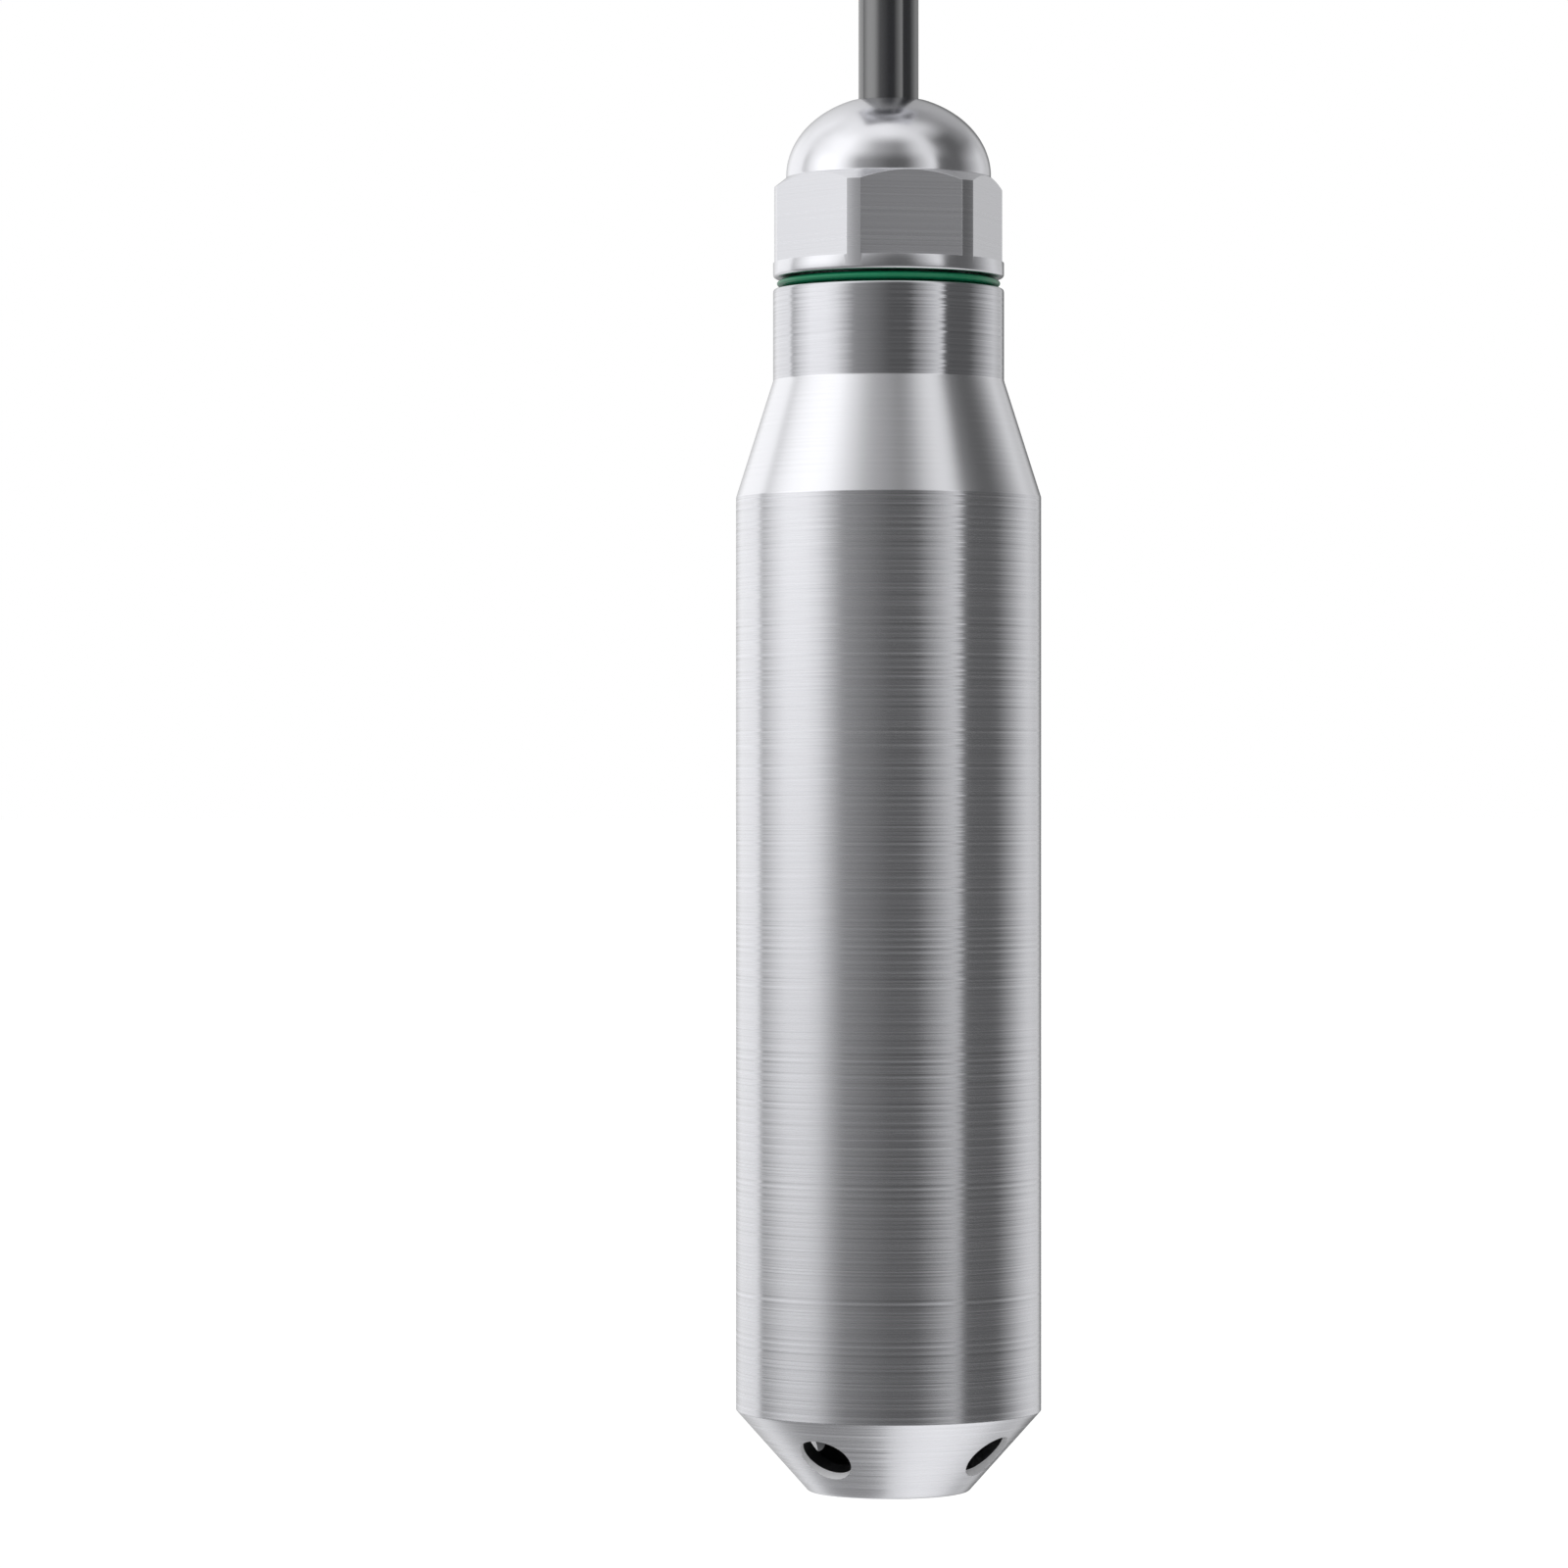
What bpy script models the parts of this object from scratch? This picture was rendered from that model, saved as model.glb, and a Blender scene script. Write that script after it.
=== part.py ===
"""A submersible level transmitter, hung by its cable from a small bracket.

The origin is on the bracket's top face, where it is screwed up under a tank roof, and the sensor
hangs straight down from it. Sizes are in metres. The sensor's own pieces are placed from the face
of its nose, and the hanger's pieces from the lowest point of its cable gland.
"""

from math import acos, cos, pi, radians, sin, sqrt, tan

import bmesh
import bpy
from mathutils import Matrix, Vector

MM = 0.001

# Gaps between neighbours.
CLEARANCE = 0.3 * MM  # round pieces that fit in one another, and seats
SEAM = 0.06 * MM  # the joint between the nose cap and the body
FACE_GAP = 0.1 * MM  # flat faces that lie on each other
OVERCUT = 2.0 * MM  # how far a cutter reaches past what it cuts

# How finely round pieces are divided.
BODY_SEGMENTS = 72
NUT_SEGMENTS = 60
INNER_SEGMENTS = 32
SMALL_SEGMENTS = 16

# Body: one turned tube with a shoulder cone and a neck.
BODY_RADIUS = 14.0 * MM
BODY_LENGTH = 83.7 * MM
SHOULDER_LENGTH = 10.7 * MM
NECK_RADIUS = 10.6 * MM
NECK_LENGTH = 8.4 * MM
NECK_CHAMFER = 0.3 * MM
MOUTH_BORE_RADIUS = 12.2 * MM
MOUTH_BORE_DEPTH = 8.0 * MM
CELL_BORE_RADIUS = 11.4 * MM
BAY_BORE_RADIUS = 10.6 * MM
BAY_BELOW_SHOULDER = 5.1 * MM  # from the shoulder down to the bay's straight end
THROAT_RADIUS = 5.6 * MM
GLAND_BORE_RADIUS = 8.2 * MM
GLAND_BORE_DEPTH = 12.2 * MM

# Nose cap: a cone with four slanting inlets and a drain in its flat face.
NOSE_FACE_RADIUS = 7.4 * MM
NOSE_HEIGHT = 7.4 * MM
NOSE_WALL = 1.8 * MM
NOSE_FLOOR = 2.0 * MM
NOSE_CHAMBER_RADIUS = 9.8 * MM
NOSE_SPIGOT_END_GAP = 0.8 * MM
INLET_RADIUS = 2.5 * MM
INLET_COUNT = 4
INLET_FIRST_ANGLE = radians(-123.5)
DRAIN_RADIUS = 1.7 * MM

# Pressure cell, held in the body by a threaded ring.
RETAINER_HEIGHT = 2.5 * MM
RETAINER_BORE_RADIUS = 9.0 * MM
RETAINER_SLOT_WIDTH = 2.0 * MM
RETAINER_SLOT_DEPTH = 1.0 * MM
CELL_HEIGHT = 11.9 * MM
DIAPHRAGM_RADIUS = 8.4 * MM
DIAPHRAGM_THICKNESS = 0.3 * MM
CELL_RECESS_DEPTH = 0.8 * MM
CELL_POCKET_RADIUS = 6.2 * MM
CELL_POCKET_DEPTH = 5.7 * MM
OIL_CHANNEL_RADIUS = 0.6 * MM
CELL_RING_SECTION_RADIUS = 0.8 * MM
CELL_GROOVE_HEIGHT = 4.0 * MM  # from the cell's front face to the groove's lower wall
HEADER_HEIGHT = 3.0 * MM
HEADER_SINK = 0.9 * MM  # how far the header's back lies below the cell's back
PIN_COUNT = 4
PIN_RADIUS = 0.3 * MM
PIN_CIRCLE_RADIUS = 3.5 * MM
PIN_TAIL = 3.7 * MM
DIE_WIDTH = 2.6 * MM
DIE_THICKNESS = 0.8 * MM

# Electronics bay.
SLEEVE_WALL = 1.0 * MM
BOARD_THICKNESS = 1.2 * MM
WIRE_ROOM = 7.5 * MM  # from the cell's back to the board
BOARD_BELOW_SLEEVE_TOP = 2.7 * MM
AMPLIFIER_WIDTH = 7.0 * MM
AMPLIFIER_DEPTH = 1.6 * MM
AMPLIFIER_FROM_BOTTOM = 14.0 * MM
DRIVER_WIDTH = 6.0 * MM
DRIVER_DEPTH = 2.3 * MM
DRIVER_FROM_BOTTOM = 27.0 * MM
CAPACITOR_WIDTH = 2.6 * MM
CAPACITOR_HEIGHT = 3.4 * MM
CAPACITOR_DEPTH = 1.4 * MM
CAPACITOR_SPACING = 9.0 * MM
CAPACITOR_FROM_BOTTOM = 20.5 * MM
ARRESTER_RADIUS = 2.0 * MM
ARRESTER_LENGTH = 7.0 * MM
ARRESTER_FROM_BOTTOM = 34.5 * MM
TERMINAL_WIDTH = 10.0 * MM
TERMINAL_HEIGHT = 8.0 * MM
TERMINAL_DEPTH = 6.0 * MM
TERMINAL_SCREW_RADIUS = 1.3 * MM
TERMINAL_SCREW_HEIGHT = 1.0 * MM
WIRE_SPACING = 5.0 * MM
SENSOR_WIRE_RADIUS = 0.35 * MM
SOLDER_HEIGHT = 3.0 * MM

# Cable, with two cores and a vent tube inside its jacket.
CABLE_RADIUS = 2.75 * MM
JACKET_IN_NECK = 11.2 * MM  # from the neck's top down to the jacket's end
CORE_RADIUS = 0.6 * MM
CORE_SPREAD = 1.2 * MM
CORE_FRONT = 0.9 * MM
VENT_RADIUS = 0.8 * MM
VENT_BACK = 1.4 * MM
VENT_FROM_SLEEVE = 1.7 * MM
FREE_CABLE = 13.5 * MM  # between the dome's top and the hanger's gland
CABLE_POINTS = 8

# Gland nut: flange, hexagon and dome turned and milled from one bar.
NUT_RADIUS = 10.6 * MM
NUT_GAP = 1.05 * MM  # between the neck and the flange, where the green ring shows
FLANGE_HEIGHT = 1.35 * MM
FLANGE_CHAMFER = 0.3 * MM
HEX_ACROSS_FLATS = 19.0 * MM
HEX_HEIGHT = 8.0 * MM
HEX_TURN = radians(11.7 - 90.0)  # the direction that the nearest flat faces
HEX_CHAMFER_ANGLE = radians(30.0)
DOME_RADIUS = 9.4 * MM
DOME_HEIGHT = 7.4 * MM
DOME_MOUTH_EASE = 0.5 * MM
NUT_THREAD_LEFT = 1.75 * MM  # what the nut can still be tightened
NUT_SPIGOT_WALL = 1.0 * MM
NUT_CONE_BELOW_FLANGE = 4.25 * MM
NUT_CONE_HEIGHT = 5.5 * MM
NUT_CONE_TOP_RADIUS = 3.6 * MM
SEAL_RING_RADIUS = 10.25 * MM
SEAL_RING_WIDTH = 1.9 * MM
WASHER_THICKNESS = 1.0 * MM

# Hanger: a cable gland in the lower leg of a bent strip.
HANGER_NUT_HEIGHT = 11.0 * MM
HANGER_NUT_DOME_HEIGHT = 4.0 * MM
HANGER_NUT_DOME_RADIUS = 7.2 * MM
HANGER_NUT_RADIUS = 8.3 * MM
HANGER_ACROSS_FLATS = 15.0 * MM
HANGER_HEX_HEIGHT = 5.0 * MM
HANGER_THREAD_RADIUS = 5.7 * MM
HANGER_LOWER_THREAD = 5.0 * MM
HANGER_UPPER_THREAD = 8.2 * MM
HANGER_SOCKET_RADIUS = 4.6 * MM
HANGER_SOCKET_DEPTH = 6.5 * MM
HANGER_CONE_HEIGHT = 2.2 * MM
HANGER_CONE_BOTTOM = 2.4 * MM
LOCK_NUT_ACROSS_FLATS = 16.0 * MM
LOCK_NUT_RADIUS = 8.9 * MM
LOCK_NUT_HEIGHT = 3.5 * MM
BRACKET_WIDTH = 24.0 * MM
BRACKET_THICKNESS = 2.5 * MM
BRACKET_FRONT = 11.0 * MM
BRACKET_BACK = 13.5 * MM
BRACKET_BEND_RADIUS = 3.6 * MM
FIXING_HOLE_RADIUS = 2.15 * MM
FIXING_HOLE_SPACING = 15.0 * MM
JACKET_ABOVE_GLAND = 3.0 * MM
LEAD_HEIGHT = 6.0 * MM
LEAD_SPREAD = 3.2 * MM
FERRULE_WALL = 0.25 * MM
FERRULE_LENGTH = 3.4 * MM
LEAD_HEADROOM = 8.5 * MM

# What follows from the sizes above.
BODY_TOP = NOSE_HEIGHT + BODY_LENGTH
SHOULDER_TOP = BODY_TOP + SHOULDER_LENGTH
NECK_TOP = SHOULDER_TOP + NECK_LENGTH
BAY_TOP = BODY_TOP - BAY_BELOW_SHOULDER
MOUTH_BORE_TOP = NOSE_HEIGHT + MOUTH_BORE_DEPTH
NOSE_SLOPE = (BODY_RADIUS - NOSE_FACE_RADIUS) / NOSE_HEIGHT
NOSE_SLANT = sqrt(1.0 + NOSE_SLOPE**2)
RETAINER_BOTTOM = MOUTH_BORE_TOP + FACE_GAP
CELL_BOTTOM = RETAINER_BOTTOM + RETAINER_HEIGHT + CLEARANCE
CELL_TOP = CELL_BOTTOM + CELL_HEIGHT
CELL_BORE_TOP = CELL_TOP + CLEARANCE
CELL_RADIUS = CELL_BORE_RADIUS - CLEARANCE
HEADER_RADIUS = CELL_POCKET_RADIUS - CLEARANCE
HEADER_TOP = CELL_TOP - HEADER_SINK
HEADER_BOTTOM = HEADER_TOP - HEADER_HEIGHT
SLEEVE_RADIUS = BAY_BORE_RADIUS - CLEARANCE
SLEEVE_BORE_RADIUS = SLEEVE_RADIUS - SLEEVE_WALL
SLEEVE_BOTTOM = CELL_TOP + CLEARANCE
SLEEVE_TOP = BAY_TOP - CLEARANCE
BOARD_WIDTH = 2 * (SLEEVE_BORE_RADIUS - CLEARANCE)
BOARD_BOTTOM = SLEEVE_BOTTOM + WIRE_ROOM
BOARD_TOP = SLEEVE_TOP - BOARD_BELOW_SLEEVE_TOP
BOARD_FACE = BOARD_THICKNESS / 2 + FACE_GAP
TERMINAL_TOP = BOARD_TOP - FACE_GAP
TERMINAL_MIDDLE_Y = -(BOARD_FACE + TERMINAL_DEPTH / 2)
JACKET_BOTTOM = NECK_TOP - JACKET_IN_NECK
CABLE_HOLE_RADIUS = CABLE_RADIUS + CLEARANCE
GLAND_SEAT = NECK_TOP - GLAND_BORE_DEPTH
WASHER_BOTTOM = GLAND_SEAT + CLEARANCE
WASHER_TOP = WASHER_BOTTOM + WASHER_THICKNESS
NUT_BOTTOM = NECK_TOP + NUT_GAP
HEX_BOTTOM = NUT_BOTTOM + FLANGE_HEIGHT
HEX_TOP = HEX_BOTTOM + HEX_HEIGHT
DOME_TOP = HEX_TOP + DOME_HEIGHT
NUT_SPIGOT_RADIUS = GLAND_BORE_RADIUS - CLEARANCE
NUT_SPIGOT_BOTTOM = WASHER_TOP + NUT_THREAD_LEFT
NUT_SOCKET_RADIUS = NUT_SPIGOT_RADIUS - NUT_SPIGOT_WALL
NUT_CONE_BOTTOM = NUT_BOTTOM - NUT_CONE_BELOW_FLANGE
NUT_CONE_TOP = NUT_CONE_BOTTOM + NUT_CONE_HEIGHT
HANGER_HEX_BOTTOM = HANGER_NUT_HEIGHT + CLEARANCE
HANGER_HEX_TOP = HANGER_HEX_BOTTOM + HANGER_HEX_HEIGHT
HANGER_LEG_BOTTOM = HANGER_HEX_TOP + CLEARANCE
HANGER_THREAD_TOP = HANGER_HEX_TOP + HANGER_UPPER_THREAD
JACKET_TOP = HANGER_THREAD_TOP + JACKET_ABOVE_GLAND
LOCK_NUT_BOTTOM = HANGER_LEG_BOTTOM + BRACKET_THICKNESS + CLEARANCE
LEAD_BOTTOM = JACKET_TOP + CLEARANCE
LEAD_TOP = LEAD_BOTTOM + LEAD_HEIGHT
HANGER_TOP = LEAD_TOP + FERRULE_LENGTH + LEAD_HEADROOM
HANGER_Z = -HANGER_TOP
NOSE_Z = HANGER_Z - FREE_CABLE - DOME_TOP

# Finishes: colour, roughness, metallic.
FINISHES = {
    "turned_steel": ((0.62, 0.62, 0.64), 0.28, 1.0),
    "milled_steel": ((0.60, 0.60, 0.62), 0.24, 1.0),
    "bright_steel": ((0.66, 0.66, 0.68), 0.20, 1.0),
    "bent_steel": ((0.55, 0.55, 0.57), 0.38, 1.0),
    "green_rubber": ((0.010, 0.155, 0.060), 0.38, 0.0),
    "black_rubber": ((0.020, 0.020, 0.022), 0.70, 0.0),
    "cable_jacket": ((0.028, 0.028, 0.032), 0.42, 0.0),
    "white_nylon": ((0.72, 0.71, 0.67), 0.50, 0.0),
    "board_laminate": ((0.020, 0.120, 0.045), 0.45, 0.0),
    "chip_epoxy": ((0.030, 0.030, 0.032), 0.55, 0.0),
    "capacitor_ceramic": ((0.38, 0.24, 0.13), 0.50, 0.0),
    "arrester_ceramic": ((0.70, 0.68, 0.64), 0.35, 0.0),
    "terminal_plastic": ((0.045, 0.180, 0.075), 0.50, 0.0),
    "gold_plate": ((0.78, 0.56, 0.22), 0.25, 1.0),
    "silicon": ((0.20, 0.21, 0.24), 0.18, 0.6),
    "red_insulation": ((0.500, 0.020, 0.018), 0.45, 0.0),
    "black_insulation": ((0.022, 0.022, 0.024), 0.45, 0.0),
    "white_insulation": ((0.70, 0.70, 0.68), 0.45, 0.0),
    "vent_plastic": ((0.62, 0.64, 0.66), 0.35, 0.0),
}


def clear_scene():
    """Empties the file that the script is run in."""
    for thing in list(bpy.data.objects):
        bpy.data.objects.remove(thing, do_unlink=True)


def new_collection(name):
    """A collection linked to the scene."""
    made = bpy.data.collections.new(name)
    bpy.context.scene.collection.children.link(made)
    return made


def new_frame(name, height, collection):
    """An empty on the axis that a group of pieces hangs on."""
    frame = bpy.data.objects.new(name, None)
    frame.location = (0.0, 0.0, height)
    frame.empty_display_size = 10.0 * MM
    collection.objects.link(frame)
    return frame


def finish_material(name, finish):
    """A Principled material of its own for one piece."""
    colour, roughness, metallic = FINISHES[finish]
    made = bpy.data.materials.new(name)
    made.use_nodes = True
    shader = made.node_tree.nodes["Principled BSDF"]
    shader.inputs["Base Color"].default_value = (*colour, 1.0)
    shader.inputs["Roughness"].default_value = roughness
    shader.inputs["Metallic"].default_value = metallic
    made.diffuse_color = (*colour, 1.0)
    return made


def add_piece(name, mesh, finish, frame, place=(0.0, 0.0, 0.0)):
    """Puts a mesh or curve in the part as a named piece of its frame."""
    piece = bpy.data.objects.new(name, mesh)
    piece.data.materials.append(finish_material(name, finish))
    piece.parent = frame
    piece.location = place
    PART.objects.link(piece)
    return piece


def add_cutter(name, mesh, frame):
    """Puts a mesh with the cutters, which aren't rendered."""
    cutter = bpy.data.objects.new(name, mesh)
    cutter.parent = frame
    cutter.display_type = "WIRE"
    cutter.hide_render = True
    CUTTERS.objects.link(cutter)
    return cutter


def cut(piece, cutter):
    """Takes the cutter's shape out of the piece."""
    boolean = piece.modifiers.new(cutter.name, "BOOLEAN")
    boolean.operation = "DIFFERENCE"
    boolean.solver = "EXACT"
    boolean.object = cutter


def outline_mesh(name, outline, closed):
    """The edges of an outline of (radius, height) points, at +X."""
    mesh = bpy.data.meshes.new(name)
    points = [(radius, 0.0, height) for radius, height in outline]
    edges = [(i, i + 1) for i in range(len(points) - 1)]
    if closed:
        edges.append((len(points) - 1, 0))
    mesh.from_pydata(points, edges, [])
    return mesh


def turn(thing, segments, smooth=True):
    """Turns an outline about Z. It runs down the outside and up the inside."""
    screw = thing.modifiers.new("turn", "SCREW")
    screw.axis = "Z"
    screw.angle = 2 * pi
    screw.steps = segments
    screw.render_steps = segments
    screw.use_merge_vertices = True
    screw.merge_threshold = 0.005 * MM
    screw.use_smooth_shade = smooth


def turned(name, outline, finish, frame, segments=INNER_SEGMENTS, closed=True):
    """A turned piece. An outline that isn't closed starts and ends on the axis."""
    piece = add_piece(name, outline_mesh(name, outline, closed), finish, frame)
    turn(piece, segments)
    return piece


def ring_outline(inner, outer, bottom, top):
    """The outline of a plain ring."""
    return [(outer, top), (outer, bottom), (inner, bottom), (inner, top)]


def disc_outline(radius, bottom, top):
    """The outline of a plain disc, from the axis to the axis."""
    return [(0.0, top), (radius, top), (radius, bottom), (0.0, bottom)]


def arc(centre, radii, start, end, steps):
    """Points on an arc of an ellipse, with angles from the first axis to the second."""
    turns = [start + (end - start) * i / steps for i in range(steps + 1)]
    return [(centre[0] + radii[0] * cos(a), centre[1] + radii[1] * sin(a)) for a in turns]


def cut_hexagon(piece, across_flats, bottom, top, facing, frame):
    """Mills six flats, with a ring whose inside is a hexagon."""
    corner = across_flats / 2 / cos(pi / 6)
    outline = ring_outline(corner, 2 * corner, bottom, top)
    cutter = add_cutter(piece.name + "_flats", outline_mesh("flats", outline, True), frame)
    turn(cutter, 6, smooth=False)
    cutter.rotation_euler.z = facing + pi / 6
    cut(piece, cutter)


def cylinder_mesh(name, radius, height, segments):
    """A cylinder on Z about its own middle."""
    mesh = bpy.data.meshes.new(name)
    shape = bmesh.new()
    bmesh.ops.create_cone(
        shape, cap_ends=True, segments=segments, radius1=radius, radius2=radius, depth=height
    )
    shape.to_mesh(mesh)
    shape.free()
    return mesh


def box_mesh(name, size):
    """A box about its own middle."""
    mesh = bpy.data.meshes.new(name)
    shape = bmesh.new()
    bmesh.ops.create_cube(shape, size=1.0)
    bmesh.ops.scale(shape, vec=size, verts=shape.verts)
    shape.to_mesh(mesh)
    shape.free()
    return mesh


def box(name, size, middle, finish, frame):
    """A box-shaped piece."""
    return add_piece(name, box_mesh(name, size), finish, frame, middle)


def rod(name, radius, bottom, top, spot, finish, frame, segments=SMALL_SEGMENTS):
    """An upright round rod at a spot (x, y)."""
    mesh = cylinder_mesh(name, radius, top - bottom, segments)
    mesh.shade_smooth()
    mesh.set_sharp_from_angle(angle=radians(40.0))
    return add_piece(name, mesh, finish, frame, (*spot, (bottom + top) / 2))


def smooth_route(points, steps):
    """Points on a smooth curve through the points of a route."""
    route = [Vector(p) for p in points]
    ends = [2 * route[0] - route[1], *route, 2 * route[-1] - route[-2]]
    smooth = []
    for before, start, end, after in zip(ends, ends[1:], ends[2:], ends[3:]):
        for step in range(steps):
            t = step / steps
            along = (
                2 * start
                + (end - before) * t
                + (2 * before - 5 * start + 4 * end - after) * t**2
                + (3 * start - before - 3 * end + after) * t**3
            )
            smooth.append(along / 2)
    return [*smooth, route[-1]]


def tube(name, points, radius, finish, frame, resolution=2):
    """A round tube along points, with closed ends."""
    curve = bpy.data.curves.new(name, "CURVE")
    curve.dimensions = "3D"
    curve.bevel_depth = radius
    curve.bevel_resolution = resolution
    curve.use_fill_caps = True
    spline = curve.splines.new("POLY")
    spline.points.add(len(points) - 1)
    for spot, point in zip(spline.points, points):
        spot.co = (*point, 1.0)
    return add_piece(name, curve, finish, frame)


def make_body(frame):
    """The tube that holds the cell and the electronics, with the neck for the gland."""
    outline = [
        (NECK_RADIUS - NECK_CHAMFER, NECK_TOP),
        (NECK_RADIUS, NECK_TOP - NECK_CHAMFER),
        (NECK_RADIUS, SHOULDER_TOP),
        (BODY_RADIUS, BODY_TOP),
        (BODY_RADIUS, NOSE_HEIGHT),
        (MOUTH_BORE_RADIUS, NOSE_HEIGHT),
        (MOUTH_BORE_RADIUS, MOUTH_BORE_TOP),
        (CELL_BORE_RADIUS, MOUTH_BORE_TOP),
        (CELL_BORE_RADIUS, CELL_BORE_TOP),
        (BAY_BORE_RADIUS, CELL_BORE_TOP),
        (BAY_BORE_RADIUS, BAY_TOP),
        (THROAT_RADIUS, BAY_TOP + BAY_BORE_RADIUS - THROAT_RADIUS),
        (THROAT_RADIUS, GLAND_SEAT),
        (GLAND_BORE_RADIUS, GLAND_SEAT),
        (GLAND_BORE_RADIUS, NECK_TOP),
    ]
    turned("housing_body", outline, "turned_steel", frame, BODY_SEGMENTS)


def make_nose_cap(frame):
    """The cap that guards the diaphragm and lets the liquid in."""
    spigot_radius = MOUTH_BORE_RADIUS - CLEARANCE
    spigot_top = MOUTH_BORE_TOP - NOSE_SPIGOT_END_GAP
    rim = NOSE_HEIGHT - SEAM
    rim_radius = NOSE_FACE_RADIUS + rim * NOSE_SLOPE
    floor_radius = NOSE_FACE_RADIUS + NOSE_FLOOR * NOSE_SLOPE - NOSE_WALL * NOSE_SLANT
    chamber_bottom = NOSE_FLOOR + (NOSE_CHAMBER_RADIUS - floor_radius) / NOSE_SLOPE
    outline = [
        (spigot_radius, spigot_top),
        (spigot_radius, rim),
        (rim_radius, rim),
        (NOSE_FACE_RADIUS, 0.0),
        (DRAIN_RADIUS, 0.0),
        (DRAIN_RADIUS, NOSE_FLOOR),
        (floor_radius, NOSE_FLOOR),
        (NOSE_CHAMBER_RADIUS, chamber_bottom),
        (NOSE_CHAMBER_RADIUS, spigot_top),
    ]
    cap = turned("nose_cap", outline, "turned_steel", frame, BODY_SEGMENTS)
    middle_radius = (NOSE_FACE_RADIUS + BODY_RADIUS) / 2
    reach = 2 * (BODY_RADIUS - NOSE_CHAMBER_RADIUS)
    for number in range(INLET_COUNT):
        name = f"inlet_drill_{number + 1}"
        drill = add_cutter(name, cylinder_mesh(name, INLET_RADIUS, 2 * reach, 32), frame)
        around = Matrix.Rotation(INLET_FIRST_ANGLE + 2 * pi * number / INLET_COUNT, 4, "Z")
        outward = Vector((1.0, 0.0, -NOSE_SLOPE)).normalized()
        place = Matrix.Translation((middle_radius, 0.0, NOSE_HEIGHT / 2))
        aim = outward.to_track_quat("Z", "Y").to_matrix().to_4x4()
        drill.matrix_local = around @ place @ aim
        cut(cap, drill)


def make_retainer(frame):
    """The threaded ring that holds the cell, with two slots for a pin spanner."""
    outline = ring_outline(
        RETAINER_BORE_RADIUS, CELL_RADIUS, RETAINER_BOTTOM, RETAINER_BOTTOM + RETAINER_HEIGHT
    )
    ring = turned("cell_retaining_ring", outline, "bright_steel", frame)
    size = (2 * BODY_RADIUS, RETAINER_SLOT_WIDTH, 2 * RETAINER_SLOT_DEPTH)
    slot = add_cutter("retainer_slot", box_mesh("retainer_slot", size), frame)
    slot.location.z = RETAINER_BOTTOM
    cut(ring, slot)


def make_cell(frame):
    """The oil-filled cell with its diaphragm, seal ring, header, pins and sensing die."""
    recess_radius = DIAPHRAGM_RADIUS + CLEARANCE
    recess_top = CELL_BOTTOM + CELL_RECESS_DEPTH
    groove_bottom = CELL_BOTTOM + CELL_GROOVE_HEIGHT
    groove_top = groove_bottom + 2 * (CELL_RING_SECTION_RADIUS + CLEARANCE)
    groove_radius = CELL_RADIUS - 2 * CELL_RING_SECTION_RADIUS - CLEARANCE
    outline = [
        (CELL_RADIUS, CELL_TOP),
        (CELL_RADIUS, groove_top),
        (groove_radius, groove_top),
        (groove_radius, groove_bottom),
        (CELL_RADIUS, groove_bottom),
        (CELL_RADIUS, CELL_BOTTOM),
        (recess_radius, CELL_BOTTOM),
        (recess_radius, recess_top),
        (OIL_CHANNEL_RADIUS, recess_top),
        (OIL_CHANNEL_RADIUS, CELL_TOP - CELL_POCKET_DEPTH),
        (CELL_POCKET_RADIUS, CELL_TOP - CELL_POCKET_DEPTH),
        (CELL_POCKET_RADIUS, CELL_TOP),
    ]
    turned("pressure_cell", outline, "milled_steel", frame)

    foil_top = recess_top - CLEARANCE
    foil = disc_outline(DIAPHRAGM_RADIUS, foil_top - DIAPHRAGM_THICKNESS, foil_top)
    turned("diaphragm", foil, "bright_steel", frame, closed=False)

    ring_radius = CELL_RADIUS - CELL_RING_SECTION_RADIUS
    radii = (CELL_RING_SECTION_RADIUS, CELL_RING_SECTION_RADIUS)
    section = arc((ring_radius, (groove_bottom + groove_top) / 2), radii, pi / 2, -pi * 1.5, 10)
    turned("cell_seal_ring", section[:-1], "black_rubber", frame)

    make_header(frame)


def make_header(frame):
    """The header plate that closes the cell's back, with its pins and the sensing die."""
    outline = disc_outline(HEADER_RADIUS, HEADER_BOTTOM, HEADER_TOP)
    header = turned("cell_header", outline, "gold_plate", frame, closed=False)
    for number in range(PIN_COUNT):
        spot = pin_spot(number)
        name = f"pin_drill_{number + 1}"
        size = (PIN_RADIUS + CLEARANCE, HEADER_HEIGHT + 2 * OVERCUT)
        drill = add_cutter(name, cylinder_mesh(name, *size, 12), frame)
        drill.location = (*spot, (HEADER_BOTTOM + HEADER_TOP) / 2)
        cut(header, drill)
        pin = (PIN_RADIUS, HEADER_BOTTOM - CLEARANCE, HEADER_TOP + PIN_TAIL, spot)
        rod(f"header_pin_{number + 1}", *pin, "gold_plate", frame, 10)
    size = (DIE_WIDTH, DIE_WIDTH, DIE_THICKNESS)
    middle = (0.0, 0.0, HEADER_BOTTOM - CLEARANCE - DIE_THICKNESS / 2)
    box("sensing_die", size, middle, "silicon", frame)


def pin_spot(number):
    """Where a header pin stands, on the diagonals beside the board."""
    angle = pi / 4 + 2 * pi * number / PIN_COUNT
    return (PIN_CIRCLE_RADIUS * cos(angle), PIN_CIRCLE_RADIUS * sin(angle))


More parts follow.
